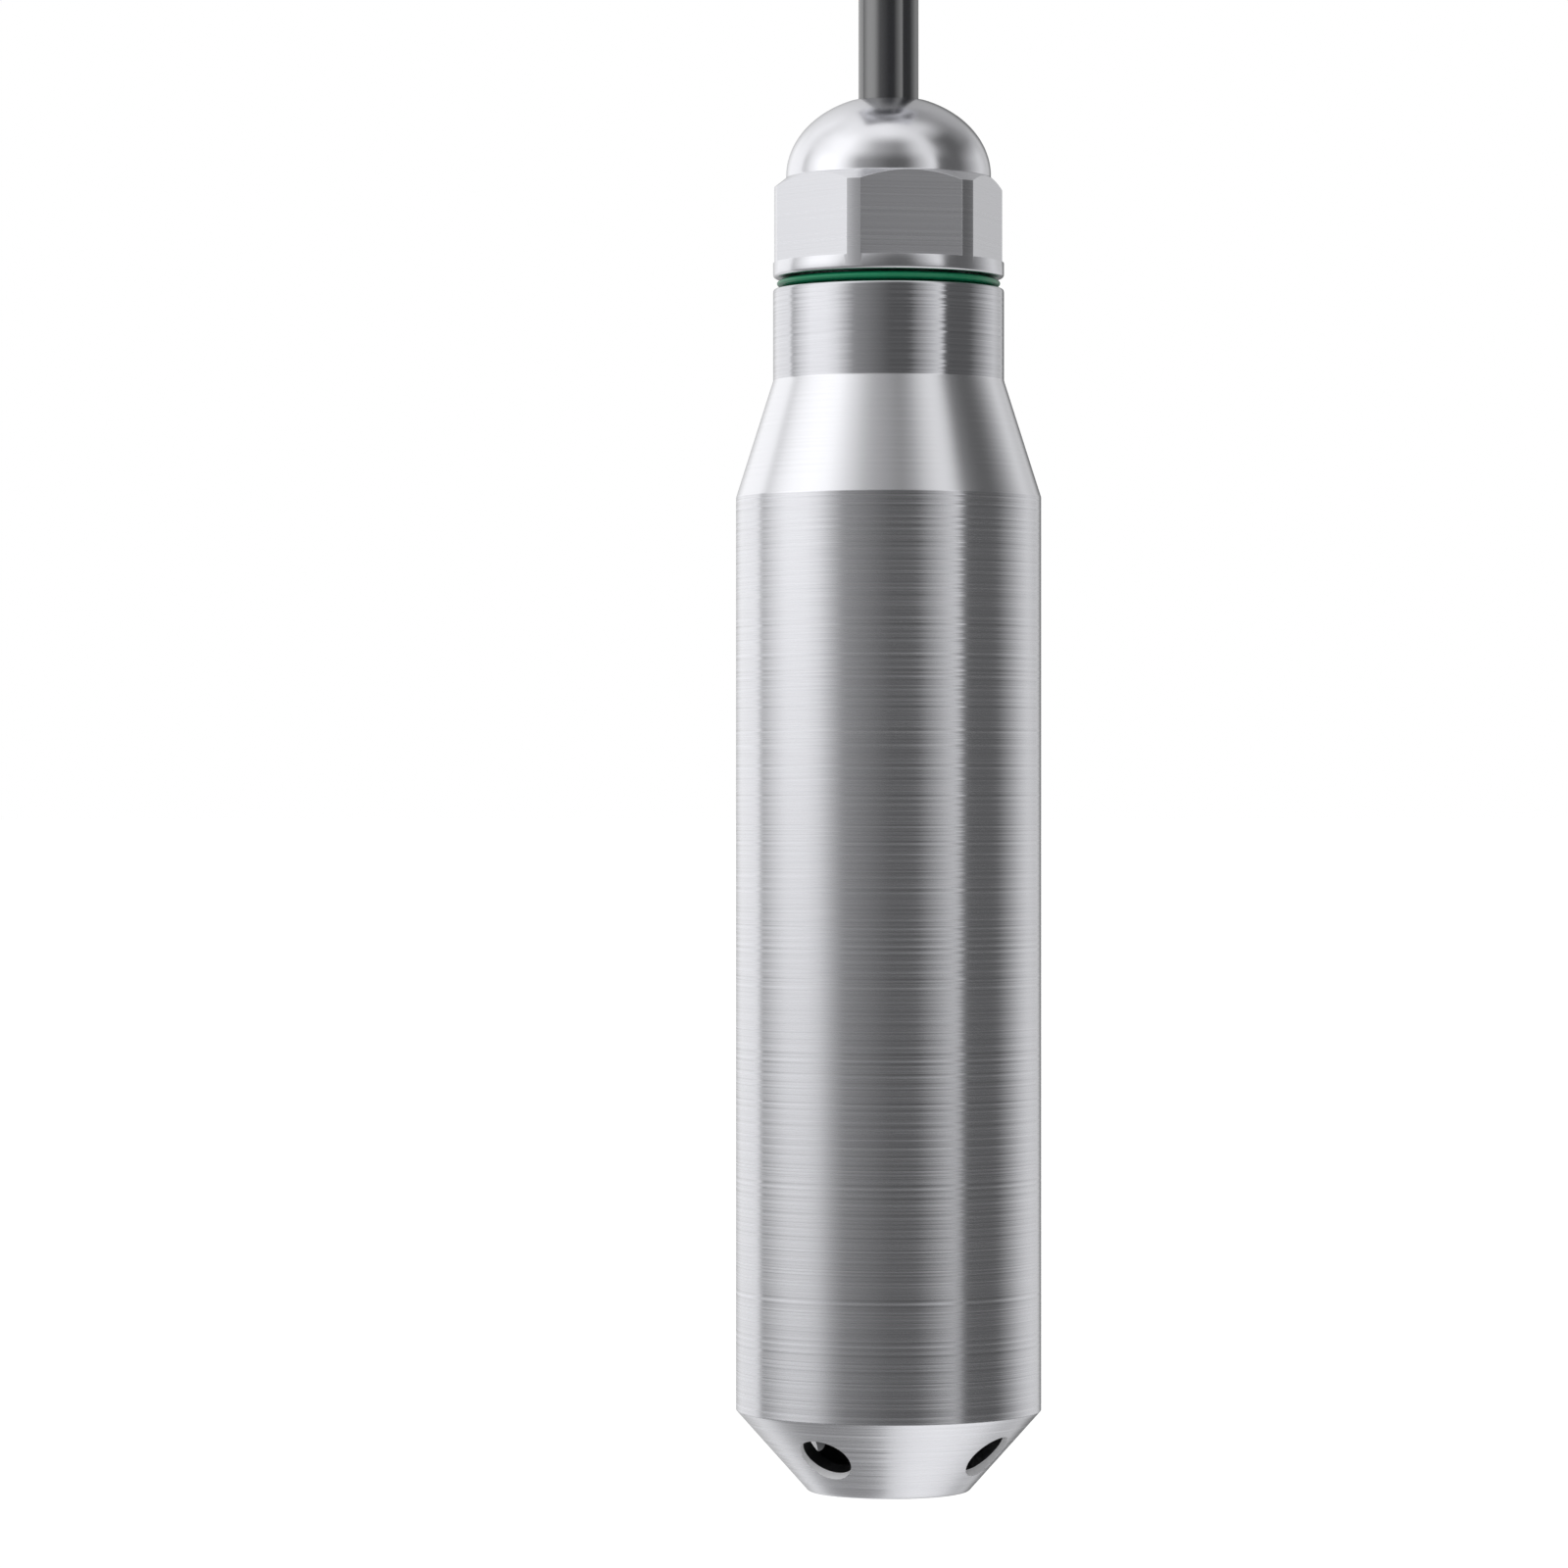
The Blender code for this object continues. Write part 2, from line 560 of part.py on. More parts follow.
def make_bay(frame):
    """The insulating sleeve, the circuit board and what is soldered on it."""
    outline = ring_outline(SLEEVE_BORE_RADIUS, SLEEVE_RADIUS, SLEEVE_BOTTOM, SLEEVE_TOP)
    turned("insulating_sleeve", outline, "white_nylon", frame)

    size = (BOARD_WIDTH, BOARD_THICKNESS, BOARD_TOP - BOARD_BOTTOM)
    middle = (0.0, 0.0, (BOARD_BOTTOM + BOARD_TOP) / 2)
    box("circuit_board", size, middle, "board_laminate", frame)

    size = (AMPLIFIER_WIDTH, AMPLIFIER_DEPTH, AMPLIFIER_WIDTH)
    middle = (0.0, -(BOARD_FACE + AMPLIFIER_DEPTH / 2), BOARD_BOTTOM + AMPLIFIER_FROM_BOTTOM)
    box("amplifier_chip", size, middle, "chip_epoxy", frame)

    size = (DRIVER_WIDTH, DRIVER_DEPTH, DRIVER_WIDTH)
    middle = (0.0, -(BOARD_FACE + DRIVER_DEPTH / 2), BOARD_BOTTOM + DRIVER_FROM_BOTTOM)
    box("driver_transistor", size, middle, "chip_epoxy", frame)

    for number, side in enumerate((-1.0, 1.0)):
        size = (CAPACITOR_WIDTH, CAPACITOR_DEPTH, CAPACITOR_HEIGHT)
        middle = (
            side * CAPACITOR_SPACING / 2,
            -(BOARD_FACE + CAPACITOR_DEPTH / 2),
            BOARD_BOTTOM + CAPACITOR_FROM_BOTTOM,
        )
        box(f"filter_capacitor_{number + 1}", size, middle, "capacitor_ceramic", frame)

    mesh = cylinder_mesh("surge_arrester", ARRESTER_RADIUS, ARRESTER_LENGTH, SMALL_SEGMENTS)
    mesh.transform(Matrix.Rotation(pi / 2, 4, "Y"))
    place = (0.0, BOARD_FACE + ARRESTER_RADIUS, BOARD_BOTTOM + ARRESTER_FROM_BOTTOM)
    add_piece("surge_arrester", mesh, "arrester_ceramic", frame, place)

    make_terminals(frame)


def make_terminals(frame):
    """The terminal block and its two screws."""
    size = (TERMINAL_WIDTH, TERMINAL_DEPTH, TERMINAL_HEIGHT)
    middle = (0.0, TERMINAL_MIDDLE_Y, TERMINAL_TOP - TERMINAL_HEIGHT / 2)
    box("terminal_block", size, middle, "terminal_plastic", frame)
    front = TERMINAL_MIDDLE_Y - TERMINAL_DEPTH / 2 - FACE_GAP
    for number, side in enumerate((-1.0, 1.0)):
        name = f"terminal_screw_{number + 1}"
        mesh = cylinder_mesh(name, TERMINAL_SCREW_RADIUS, TERMINAL_SCREW_HEIGHT, SMALL_SEGMENTS)
        mesh.transform(Matrix.Rotation(pi / 2, 4, "X"))
        place = (side * WIRE_SPACING / 2, front - TERMINAL_SCREW_HEIGHT / 2, middle[2])
        add_piece(name, mesh, "bright_steel", frame, place)


def make_inner_wires(frame):
    """The wires from the pins to the board, the cable's cores and its vent tube."""
    solder_y = BOARD_FACE + SENSOR_WIRE_RADIUS
    pin_top = HEADER_TOP + PIN_TAIL + CLEARANCE
    for number in range(PIN_COUNT):
        x, y = pin_spot(number)
        side = 1.0 if y > 0 else -1.0
        route = [
            (x, y, pin_top),
            (x, (y + side * solder_y) / 2, (pin_top + BOARD_BOTTOM) / 2),
            (x, side * solder_y, BOARD_BOTTOM),
            (x, side * solder_y, BOARD_BOTTOM + SOLDER_HEIGHT),
        ]
        name = f"sensor_wire_{number + 1}"
        tube(name, smooth_route(route, 3), SENSOR_WIRE_RADIUS, "white_insulation", frame)

    start = JACKET_BOTTOM - CLEARANCE
    for side, name, finish in (
        (-1.0, "supply_core", "red_insulation"),
        (1.0, "signal_core", "black_insulation"),
    ):
        x = side * WIRE_SPACING / 2
        end = TERMINAL_TOP + CLEARANCE
        route = [
            (side * CORE_SPREAD, -CORE_FRONT, start),
            (side * CORE_SPREAD, -CORE_FRONT, GLAND_SEAT - 2 * CORE_RADIUS),
            (x, TERMINAL_MIDDLE_Y, (GLAND_SEAT + end) / 2),
            (x, TERMINAL_MIDDLE_Y, end),
        ]
        tube(name, smooth_route(route, 4), CORE_RADIUS, finish, frame)

    bend = 3 * VENT_RADIUS
    back = SLEEVE_BORE_RADIUS - VENT_FROM_SLEEVE - VENT_RADIUS
    route = [
        (0.0, VENT_BACK, start),
        (0.0, VENT_BACK, GLAND_SEAT - bend),
        (0.0, back, BOARD_TOP),
        (0.0, back, BOARD_BOTTOM + bend),
        (0.0, back - bend, BOARD_BOTTOM - bend / 2),
        (0.0, 0.0, HEADER_TOP + 2 * bend / 3 + CLEARANCE),
        (0.0, 0.0, HEADER_TOP + CLEARANCE),
    ]
    tube("vent_tube", smooth_route(route, 4), VENT_RADIUS, "vent_plastic", frame)


def make_gland(frame):
    """The nut with its dome, the green ring under it, and the bush and washer inside."""
    start = acos((CABLE_HOLE_RADIUS + DOME_MOUTH_EASE) / DOME_RADIUS)
    dome = arc((0.0, HEX_TOP), (DOME_RADIUS, DOME_HEIGHT), start, 0.0, 10)
    mouth_top = dome[0][1]
    chamfer = (NUT_RADIUS - DOME_RADIUS) * tan(HEX_CHAMFER_ANGLE)
    outline = [
        *dome,
        (NUT_RADIUS, HEX_TOP - chamfer),
        (NUT_RADIUS, NUT_BOTTOM + FLANGE_CHAMFER),
        (NUT_RADIUS - FLANGE_CHAMFER, NUT_BOTTOM),
        (NUT_SPIGOT_RADIUS, NUT_BOTTOM),
        (NUT_SPIGOT_RADIUS, NUT_SPIGOT_BOTTOM),
        (NUT_SOCKET_RADIUS, NUT_SPIGOT_BOTTOM),
        (NUT_SOCKET_RADIUS, NUT_CONE_BOTTOM),
        (NUT_CONE_TOP_RADIUS, NUT_CONE_TOP),
        (CABLE_HOLE_RADIUS, NUT_CONE_TOP),
        (CABLE_HOLE_RADIUS, mouth_top - DOME_MOUTH_EASE),
    ]
    nut = turned("gland_nut", outline, "milled_steel", frame, NUT_SEGMENTS)
    cut_hexagon(nut, HEX_ACROSS_FLATS, HEX_BOTTOM, DOME_TOP, HEX_TURN, frame)

    middle = (SEAL_RING_RADIUS - SEAL_RING_WIDTH / 2, NECK_TOP + NUT_GAP / 2)
    radii = (SEAL_RING_WIDTH / 2, NUT_GAP / 2 - FACE_GAP)
    section = arc(middle, radii, pi / 2, -pi * 1.5, 10)
    turned("neck_seal_ring", section[:-1], "green_rubber", frame, NUT_SEGMENTS)

    washer = ring_outline(CABLE_HOLE_RADIUS, NUT_SPIGOT_RADIUS, WASHER_BOTTOM, WASHER_TOP)
    turned("gland_washer", washer, "bright_steel", frame)

    bush_radius = NUT_SOCKET_RADIUS - CLEARANCE
    slope = (NUT_SOCKET_RADIUS - NUT_CONE_TOP_RADIUS) / NUT_CONE_HEIGHT
    bush_bottom = WASHER_TOP + CLEARANCE
    bush_top = NUT_CONE_TOP - CLEARANCE
    bush = [
        (bush_radius - slope * (bush_top - NUT_CONE_BOTTOM), bush_top),
        (bush_radius, NUT_CONE_BOTTOM),
        (bush_radius, bush_bottom),
        (CABLE_HOLE_RADIUS, bush_bottom),
        (CABLE_HOLE_RADIUS, bush_top),
    ]
    turned("gland_bush", bush, "black_rubber", frame)


def make_cable(frame):
    """The jacket, straight up from inside the gland nut to just above the hanger's gland."""
    bottom = JACKET_BOTTOM
    top = HANGER_Z - NOSE_Z + JACKET_TOP
    step = (top - bottom) / (CABLE_POINTS - 1)
    points = [(0.0, 0.0, bottom + step * i) for i in range(CABLE_POINTS)]
    tube("cable", points, CABLE_RADIUS, "cable_jacket", frame, resolution=4)


def make_hanger_gland(frame):
    """The cable gland that grips the cable at the bracket."""
    end = -acos((CABLE_HOLE_RADIUS + DOME_MOUTH_EASE) / HANGER_NUT_DOME_RADIUS)
    radii = (HANGER_NUT_DOME_RADIUS, HANGER_NUT_DOME_HEIGHT)
    dome = arc((0.0, HANGER_NUT_DOME_HEIGHT), radii, 0.0, end, 6)
    chamfer = (HANGER_NUT_RADIUS - HANGER_NUT_DOME_RADIUS) * tan(HEX_CHAMFER_ANGLE)
    cone_top = HANGER_CONE_BOTTOM + HANGER_CONE_HEIGHT
    nut_bore = HANGER_THREAD_RADIUS + CLEARANCE
    outline = [
        (HANGER_NUT_RADIUS, HANGER_NUT_HEIGHT),
        (HANGER_NUT_RADIUS, HANGER_NUT_DOME_HEIGHT + chamfer),
        *dome,
        (CABLE_HOLE_RADIUS, dome[-1][1] + DOME_MOUTH_EASE),
        (CABLE_HOLE_RADIUS, HANGER_CONE_BOTTOM),
        (HANGER_SOCKET_RADIUS, cone_top),
        (nut_bore, cone_top),
        (nut_bore, HANGER_NUT_HEIGHT),
    ]
    nut = turned("hanger_gland_nut", outline, "bright_steel", frame)
    below = HANGER_NUT_DOME_HEIGHT - OVERCUT
    cut_hexagon(nut, HANGER_ACROSS_FLATS, below, HANGER_LEG_BOTTOM, 0.0, frame)

    lower = HANGER_HEX_BOTTOM - HANGER_LOWER_THREAD
    socket_top = lower + HANGER_SOCKET_DEPTH
    outline = [
        (HANGER_THREAD_RADIUS, HANGER_THREAD_TOP),
        (HANGER_THREAD_RADIUS, HANGER_HEX_TOP),
        (HANGER_NUT_RADIUS, HANGER_HEX_TOP),
        (HANGER_NUT_RADIUS, HANGER_HEX_BOTTOM),
        (HANGER_THREAD_RADIUS, HANGER_HEX_BOTTOM),
        (HANGER_THREAD_RADIUS, lower),
        (HANGER_SOCKET_RADIUS, lower),
        (HANGER_SOCKET_RADIUS, socket_top),
        (CABLE_HOLE_RADIUS, socket_top),
        (CABLE_HOLE_RADIUS, HANGER_THREAD_TOP),
    ]
    body = turned("hanger_gland_body", outline, "bright_steel", frame)
    hexagon = (HANGER_HEX_BOTTOM - CLEARANCE / 2, HANGER_HEX_TOP + CLEARANCE / 2)
    cut_hexagon(body, HANGER_ACROSS_FLATS, *hexagon, 0.0, frame)

    bush_radius = HANGER_SOCKET_RADIUS - CLEARANCE
    slope = (HANGER_SOCKET_RADIUS - CABLE_HOLE_RADIUS) / HANGER_CONE_HEIGHT
    tip = CABLE_HOLE_RADIUS + CLEARANCE
    bush = [
        (bush_radius, socket_top - CLEARANCE),
        (bush_radius, cone_top),
        (tip, cone_top - (bush_radius - tip) / slope),
        (CABLE_HOLE_RADIUS, cone_top - (bush_radius - tip) / slope),
        (CABLE_HOLE_RADIUS, socket_top - CLEARANCE),
    ]
    turned("hanger_gland_bush", bush, "black_rubber", frame)

    thread_hole = HANGER_THREAD_RADIUS + CLEARANCE
    lock_top = LOCK_NUT_BOTTOM + LOCK_NUT_HEIGHT
    outline = ring_outline(thread_hole, LOCK_NUT_RADIUS, LOCK_NUT_BOTTOM, lock_top)
    lock = turned("hanger_lock_nut", outline, "bright_steel", frame)
    across = (LOCK_NUT_BOTTOM - OVERCUT, lock_top + OVERCUT)
    cut_hexagon(lock, LOCK_NUT_ACROSS_FLATS, *across, 0.0, frame)


def bracket_outline():
    """The bent strip's edge, seen from the side as (y, z), with rounded bends."""
    inner_bend = BRACKET_BEND_RADIUS - BRACKET_THICKNESS
    bend_y = BRACKET_BACK - BRACKET_BEND_RADIUS
    low = HANGER_LEG_BOTTOM + BRACKET_BEND_RADIUS
    high = HANGER_TOP - BRACKET_BEND_RADIUS
    outer = (BRACKET_BEND_RADIUS, BRACKET_BEND_RADIUS)
    inner = (inner_bend, inner_bend)
    return [
        (-BRACKET_FRONT, HANGER_LEG_BOTTOM),
        *arc((bend_y, low), outer, -pi / 2, 0.0, 6),
        *arc((bend_y, high), outer, 0.0, pi / 2, 6),
        (-BRACKET_FRONT, HANGER_TOP),
        (-BRACKET_FRONT, HANGER_TOP - BRACKET_THICKNESS),
        *arc((bend_y, high), inner, pi / 2, 0.0, 4),
        *arc((bend_y, low), inner, 0.0, -pi / 2, 4),
        (-BRACKET_FRONT, HANGER_LEG_BOTTOM + BRACKET_THICKNESS),
    ]


def make_bracket(frame):
    """The strip bent into a C, with the gland's hole below and two fixing holes above."""
    mesh = bpy.data.meshes.new("hanger_bracket")
    shape = bmesh.new()
    corners = [shape.verts.new((-BRACKET_WIDTH / 2, y, z)) for y, z in bracket_outline()]
    side = shape.faces.new(corners)
    grown = bmesh.ops.extrude_face_region(shape, geom=[side])
    moved = [v for v in grown["geom"] if isinstance(v, bmesh.types.BMVert)]
    bmesh.ops.translate(shape, vec=(BRACKET_WIDTH, 0.0, 0.0), verts=moved)
    bmesh.ops.recalc_face_normals(shape, faces=shape.faces)
    shape.to_mesh(mesh)
    shape.free()
    bracket = add_piece("hanger_bracket", mesh, "bent_steel", frame)

    height = BRACKET_THICKNESS + 2 * OVERCUT
    hole = cylinder_mesh("gland_hole", HANGER_THREAD_RADIUS + CLEARANCE, height, 32)
    drill = add_cutter("gland_hole_drill", hole, frame)
    drill.location.z = HANGER_LEG_BOTTOM + BRACKET_THICKNESS / 2
    cut(bracket, drill)
    for number, side in enumerate((-1.0, 1.0)):
        name = f"fixing_hole_drill_{number + 1}"
        drill = add_cutter(name, cylinder_mesh(name, FIXING_HOLE_RADIUS, height, 24), frame)
        drill.location = (
            side * FIXING_HOLE_SPACING / 2, 0.0, HANGER_TOP - BRACKET_THICKNESS / 2
        )
        cut(bracket, drill)


def make_leads(frame):
    """The cable's prepared end: two cores with ferrules, and the open vent tube."""
    middle = (LEAD_BOTTOM + LEAD_TOP) / 2
    for side, name, finish in (
        (-1.0, "red", "red_insulation"),
        (1.0, "black", "black_insulation"),
    ):
        route = [
            (side * CORE_SPREAD, -CORE_FRONT, LEAD_BOTTOM),
            (side * (CORE_SPREAD + LEAD_SPREAD) / 2, -CORE_FRONT, middle),
            (side * LEAD_SPREAD, -CORE_FRONT, LEAD_TOP),
        ]
        tube(f"{name}_lead", smooth_route(route, 3), CORE_RADIUS, finish, frame)
        along = (Vector(route[2]) - Vector(route[1])).normalized()
        first = Vector(route[2]) + along * CLEARANCE
        last = first + along * FERRULE_LENGTH
        radius = CORE_RADIUS + FERRULE_WALL
        tube(f"{name}_lead_ferrule", [first, last], radius, "bright_steel", frame)
    route = [
        (0.0, VENT_BACK, LEAD_BOTTOM),
        (0.0, VENT_BACK, middle),
        (0.0, VENT_BACK, LEAD_TOP),
    ]
    tube("open_vent_tube", route, VENT_RADIUS, "vent_plastic", frame)


clear_scene()
PART = new_collection("submersible_level_transmitter")
CUTTERS = new_collection("cutters")
SENSOR = new_frame("sensor_frame", NOSE_Z, PART)
HANGER = new_frame("hanger_frame", HANGER_Z, PART)
make_body(SENSOR)
make_nose_cap(SENSOR)
make_retainer(SENSOR)
make_cell(SENSOR)
make_bay(SENSOR)
make_inner_wires(SENSOR)
make_gland(SENSOR)
make_cable(SENSOR)
make_hanger_gland(HANGER)
make_bracket(HANGER)
make_leads(HANGER)
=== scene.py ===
"""The look of the submersible level transmitter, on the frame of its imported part.

The origin is on the hanger's top face and the sensor hangs down -Z. Sizes are in metres.
"""

from math import acos, cos, pi, radians, sin, sqrt, tan

import bmesh
import bpy
from mathutils import Matrix, Vector


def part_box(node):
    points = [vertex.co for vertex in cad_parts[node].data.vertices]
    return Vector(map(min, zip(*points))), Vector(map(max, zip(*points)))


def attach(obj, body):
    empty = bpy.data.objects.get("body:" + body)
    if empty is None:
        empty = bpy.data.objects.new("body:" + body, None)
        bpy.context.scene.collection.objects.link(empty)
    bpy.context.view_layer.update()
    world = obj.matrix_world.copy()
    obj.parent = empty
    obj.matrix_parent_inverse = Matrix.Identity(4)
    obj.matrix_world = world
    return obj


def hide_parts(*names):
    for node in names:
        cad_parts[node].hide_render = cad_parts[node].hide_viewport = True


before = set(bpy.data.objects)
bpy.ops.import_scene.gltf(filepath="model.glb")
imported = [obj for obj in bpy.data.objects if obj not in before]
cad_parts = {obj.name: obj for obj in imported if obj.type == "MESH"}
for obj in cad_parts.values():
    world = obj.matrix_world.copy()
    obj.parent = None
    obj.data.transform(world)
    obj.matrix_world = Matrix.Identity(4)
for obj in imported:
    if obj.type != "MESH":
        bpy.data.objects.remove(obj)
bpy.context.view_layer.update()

MM = 0.001
SENSOR = "sensor_and_hanger"
CAP = "guard_cap"

# Camera: a long lens, level with the middle of the view, in the photo's own frame.
CAMERA_LENS = 135.0
CAMERA_SENSOR = 36.0
CAMERA_DISTANCE = 540.0 * MM
CAMERA_LEFT_OF_AXIS = 9.6 * MM
CAMERA_ABOVE_NOSE = 64.8 * MM

# Gaps between neighbours, as in the part, and how far a cutter runs past what it cuts.
CLEARANCE = 0.3 * MM
FACE_GAP = 0.1 * MM
OVERSHOOT = 1.0 * MM

# Fineness of round pieces, how near corners are joined, and how far edges are eased.
FINE_SEGMENTS = 240
INNER_SEGMENTS = 96
DRILL_SEGMENTS = 64
LEAD_SEGMENTS = 40
DOME_STEPS = 30
HANGER_DOME_STEPS = 20
RING_STEPS = 28
FOIL_STEPS = 60
BEND_STEPS = 10
CABLE_POINTS = 24
EASE_STEPS = 4
EASE_LIMIT = 0.45
WELD = 1e-7
SLIVER = 0.005 * MM
CRISP = 0.03 * MM
SLIGHT = 0.1 * MM
TRIMMED = 0.15 * MM
EASED = 0.2 * MM
SOFT = 0.3 * MM
NECK_EASE = 0.12 * MM
SHOULDER_EASE = 0.08 * MM
VENT_EASE = 0.06 * MM

# Body and nose, below the neck's top and above the nose's flat.
BODY_LOW, BODY_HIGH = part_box("housing_body")
CAP_LOW, CAP_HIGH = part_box("nose_cap")
BODY_RADIUS = BODY_HIGH.x
SEAM_Z = BODY_LOW.z
NECK_TOP = BODY_HIGH.z
NOSE_Z = CAP_LOW.z
NECK_RADIUS = 10.6 * MM
NECK_LENGTH = 8.4 * MM
SHOULDER_LENGTH = 10.7 * MM
MOUTH_RADIUS = 12.2 * MM
MOUTH_DEPTH = 8.0 * MM
CELL_BORE_RADIUS = 11.4 * MM
BAY_RADIUS = 10.6 * MM
BAY_BELOW_SHOULDER = 5.1 * MM
THROAT_RADIUS = 5.6 * MM
GLAND_BORE_RADIUS = 8.2 * MM
GLAND_BORE_DEPTH = 12.2 * MM
SEAM_GAP = 0.01 * MM
NOSE_FACE_RADIUS = 7.4 * MM
NOSE_WALL = 1.8 * MM
NOSE_FLOOR = 2.0 * MM
CHAMBER_RADIUS = 9.8 * MM
INLET_RADIUS = 2.5 * MM
INLET_COUNT = 4
INLET_FIRST_ANGLE = radians(-123.5)
INLET_LIP = 0.8 * MM
CONE_RINGS = 24
DRAIN_RADIUS = 1.7 * MM
THREAD_PITCH = 1.0 * MM
THREAD_DEPTH = 0.35 * MM
THREAD_CREST = 0.3 * MM
THREAD_FROM_RIM = 0.8 * MM

# Gland nut and its ring.
NUT_LOW, NUT_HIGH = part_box("gland_nut")
NUT_RADIUS = 10.6 * MM
NUT_BOTTOM = NECK_TOP + 1.05 * MM
FLANGE_HEIGHT = 1.35 * MM
HEX_ACROSS_FLATS = 19.0 * MM
HEX_HEIGHT = 8.0 * MM
HEX_FACING = radians(11.7 - 90.0)
HEX_CHAMFER_ANGLE = radians(30.0)
DOME_STEP = 0.2 * MM
DOME_CHAMFER_ANGLE = radians(38.0)
HEX_EDGE = 0.10 * MM
DOME_RADIUS = 9.4 * MM
DOME_HEIGHT = 7.4 * MM
MOUTH_EASE = 0.5 * MM
NUT_WALL = 1.0 * MM
NUT_CONE_RADIUS = 3.6 * MM
NUT_CONE_BELOW = 4.25 * MM
NUT_CONE_ABOVE = 1.25 * MM
RING_RADIUS = 9.3 * MM
RING_HALF_WIDTH = 0.95 * MM

# Cable.
CABLE_LOW, CABLE_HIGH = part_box("cable")
CABLE_RADIUS = 2.75 * MM

# Hanger: a cable gland in a bent strip, above its lowest point.
HANGER_NUT_HEIGHT = 11.0 * MM
HANGER_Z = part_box("hanger_gland_nut")[1].z - HANGER_NUT_HEIGHT
HANGER_DOME_HEIGHT = 4.0 * MM
HANGER_DOME_RADIUS = 7.2 * MM
HANGER_NUT_RADIUS = 8.3 * MM
HANGER_ACROSS_FLATS = 15.0 * MM
HANGER_HEX_HEIGHT = 5.0 * MM
HANGER_THREAD_RADIUS = 5.7 * MM
HANGER_SOCKET_RADIUS = 4.6 * MM
HANGER_SOCKET_DEPTH = 6.5 * MM
HANGER_CONE_BOTTOM = 2.4 * MM
HANGER_CONE_HEIGHT = 2.2 * MM
LOCK_NUT_RADIUS = 8.9 * MM
LOCK_NUT_ACROSS_FLATS = 16.0 * MM
LOCK_NUT_BEVEL = 0.6 * MM
STRIP_LOW, STRIP_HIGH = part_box("hanger_bracket")
STRIP_THICKNESS = 2.5 * MM
STRIP_BEND = 3.6 * MM
STRIP_EDGE = 0.25 * MM
FIXING_HOLE_RADIUS = 2.15 * MM
FIXING_HOLE_SPACING = 15.0 * MM
CORE_RADIUS = 0.6 * MM
CORE_SPREAD = 1.2 * MM
CORE_FRONT = 0.9 * MM
LEAD_SPREAD = 3.2 * MM
FERRULE_RADIUS = 0.85 * MM
FERRULE_LENGTH = 3.4 * MM
FERRULE_FLARE = 0.4 * MM
CRIMP_DEPTH = 0.12 * MM
CRIMP_HEIGHTS = (0.75, 0.62, 0.50, 0.38, 0.25)
VENT_RADIUS = 0.8 * MM
VENT_BORE_RADIUS = 0.45 * MM
VENT_BACK = 1.4 * MM

# Diaphragm and the ring that holds the cell.
FOIL_WAVES = 5
FOIL_WAVE_HEIGHT = 0.07 * MM
FOIL_FLAT_RADIUS = 2.0 * MM
RETAINER_BORE_RADIUS = 9.0 * MM
RETAINER_SLOT_WIDTH = 2.0 * MM
RETAINER_SLOT_DEPTH = 1.0 * MM

# The turned metal's lines: how close they stand, how much of them is broken, how much closer
# the broken ones stand, how often they break off, and what a full-strength line does to the
# tone, the roughness, the height and the reflection's sideways turn.
LINE_SCALE = 3400.0
BROKEN_SHARE = 0.2
BROKEN_LINES = 1.4
BROKEN_REACH = 60.0
LINE_DARK = 0.16
LINE_LIGHT = 0.08
LINE_ROUGH = 0.35
LINE_BUMP = 0.15
LINE_SWAY = 0.028
QUARTER_TURN = 0.25

# Grain of the other finishes, in specks or clouds a metre.
SATIN_SPECK = 5000.0
MOULD_SPECK = 2500.0
CHIP_SPECK = 4000.0
SATIN_CLOUD = 160.0
MOULD_CLOUD = 220.0

# The plain light: an even world and one wide, soft lamp from the upper left.
WORLD_LEVEL = 0.60
SUN_POWER = 1.4
SUN_SOFTNESS = radians(60.0)
SUN_AIM = (0.6, 0.7, -0.9)
FLOOR_DEPTH = 60.0 * MM
FLOOR_LIFT = 0.22
FLOOR_REACH = 20.0

# The ball whose glow the metal reflects, and the heights on it where one table fades to the next.
STUDIO_RADIUS = 6.0
LOW_WALL_FADE = (0.4, -0.9)
CEILING_FADE = (1.9, 3.1)
OVERHEAD_FADE = (4.4, 5.4)
FLOOR_FADE = (-2.4, -4.2)

# The studio's reflections round the object: (degrees from the camera to its right, brightness).
WALL_BANDS = (
    (-180.0, 0.45),
    (-164.0, 0.70),
    (-150.0, 1.10),
    (-117.0, 1.12),
    (-113.0, 0.56),
    (-101.0, 1.00),
    (-86.0, 1.36),
    (-66.0, 1.36),
    (-55.0, 1.18),
    (-45.0, 0.78),
    (-36.0, 0.38),
    (-17.0, 0.24),
    (0.0, 0.12),
    (20.0, 0.12),
    (36.0, 0.56),
    (50.0, 0.98),
    (54.0, 0.92),
    (57.0, 0.12),
    (88.0, 0.13),
    (101.0, 0.34),
    (117.0, 0.64),
    (128.0, 0.78),
    (136.0, 0.68),
    (144.0, 0.58),
    (152.0, 0.66),
    (164.0, 0.14),
    (180.0, 0.14),
)
LOW_WALL_BANDS = (
    (-180.0, 0.40),
    (-164.0, 0.60),
    (-150.0, 0.84),
    (-117.0, 0.80),
    (-113.0, 0.26),
    (-101.0, 0.32),
    (-80.0, 0.44),
    (-60.0, 0.36),
    (-45.0, 0.16),
    (0.0, 0.12),
    (30.0, 0.12),
    (50.0, 0.24),
    (54.0, 0.22),
    (57.0, 0.12),
    (88.0, 0.12),
    (101.0, 0.30),
    (117.0, 0.60),
    (136.0, 0.76),
    (152.0, 0.72),
    (164.0, 0.20),
    (180.0, 0.20),
)
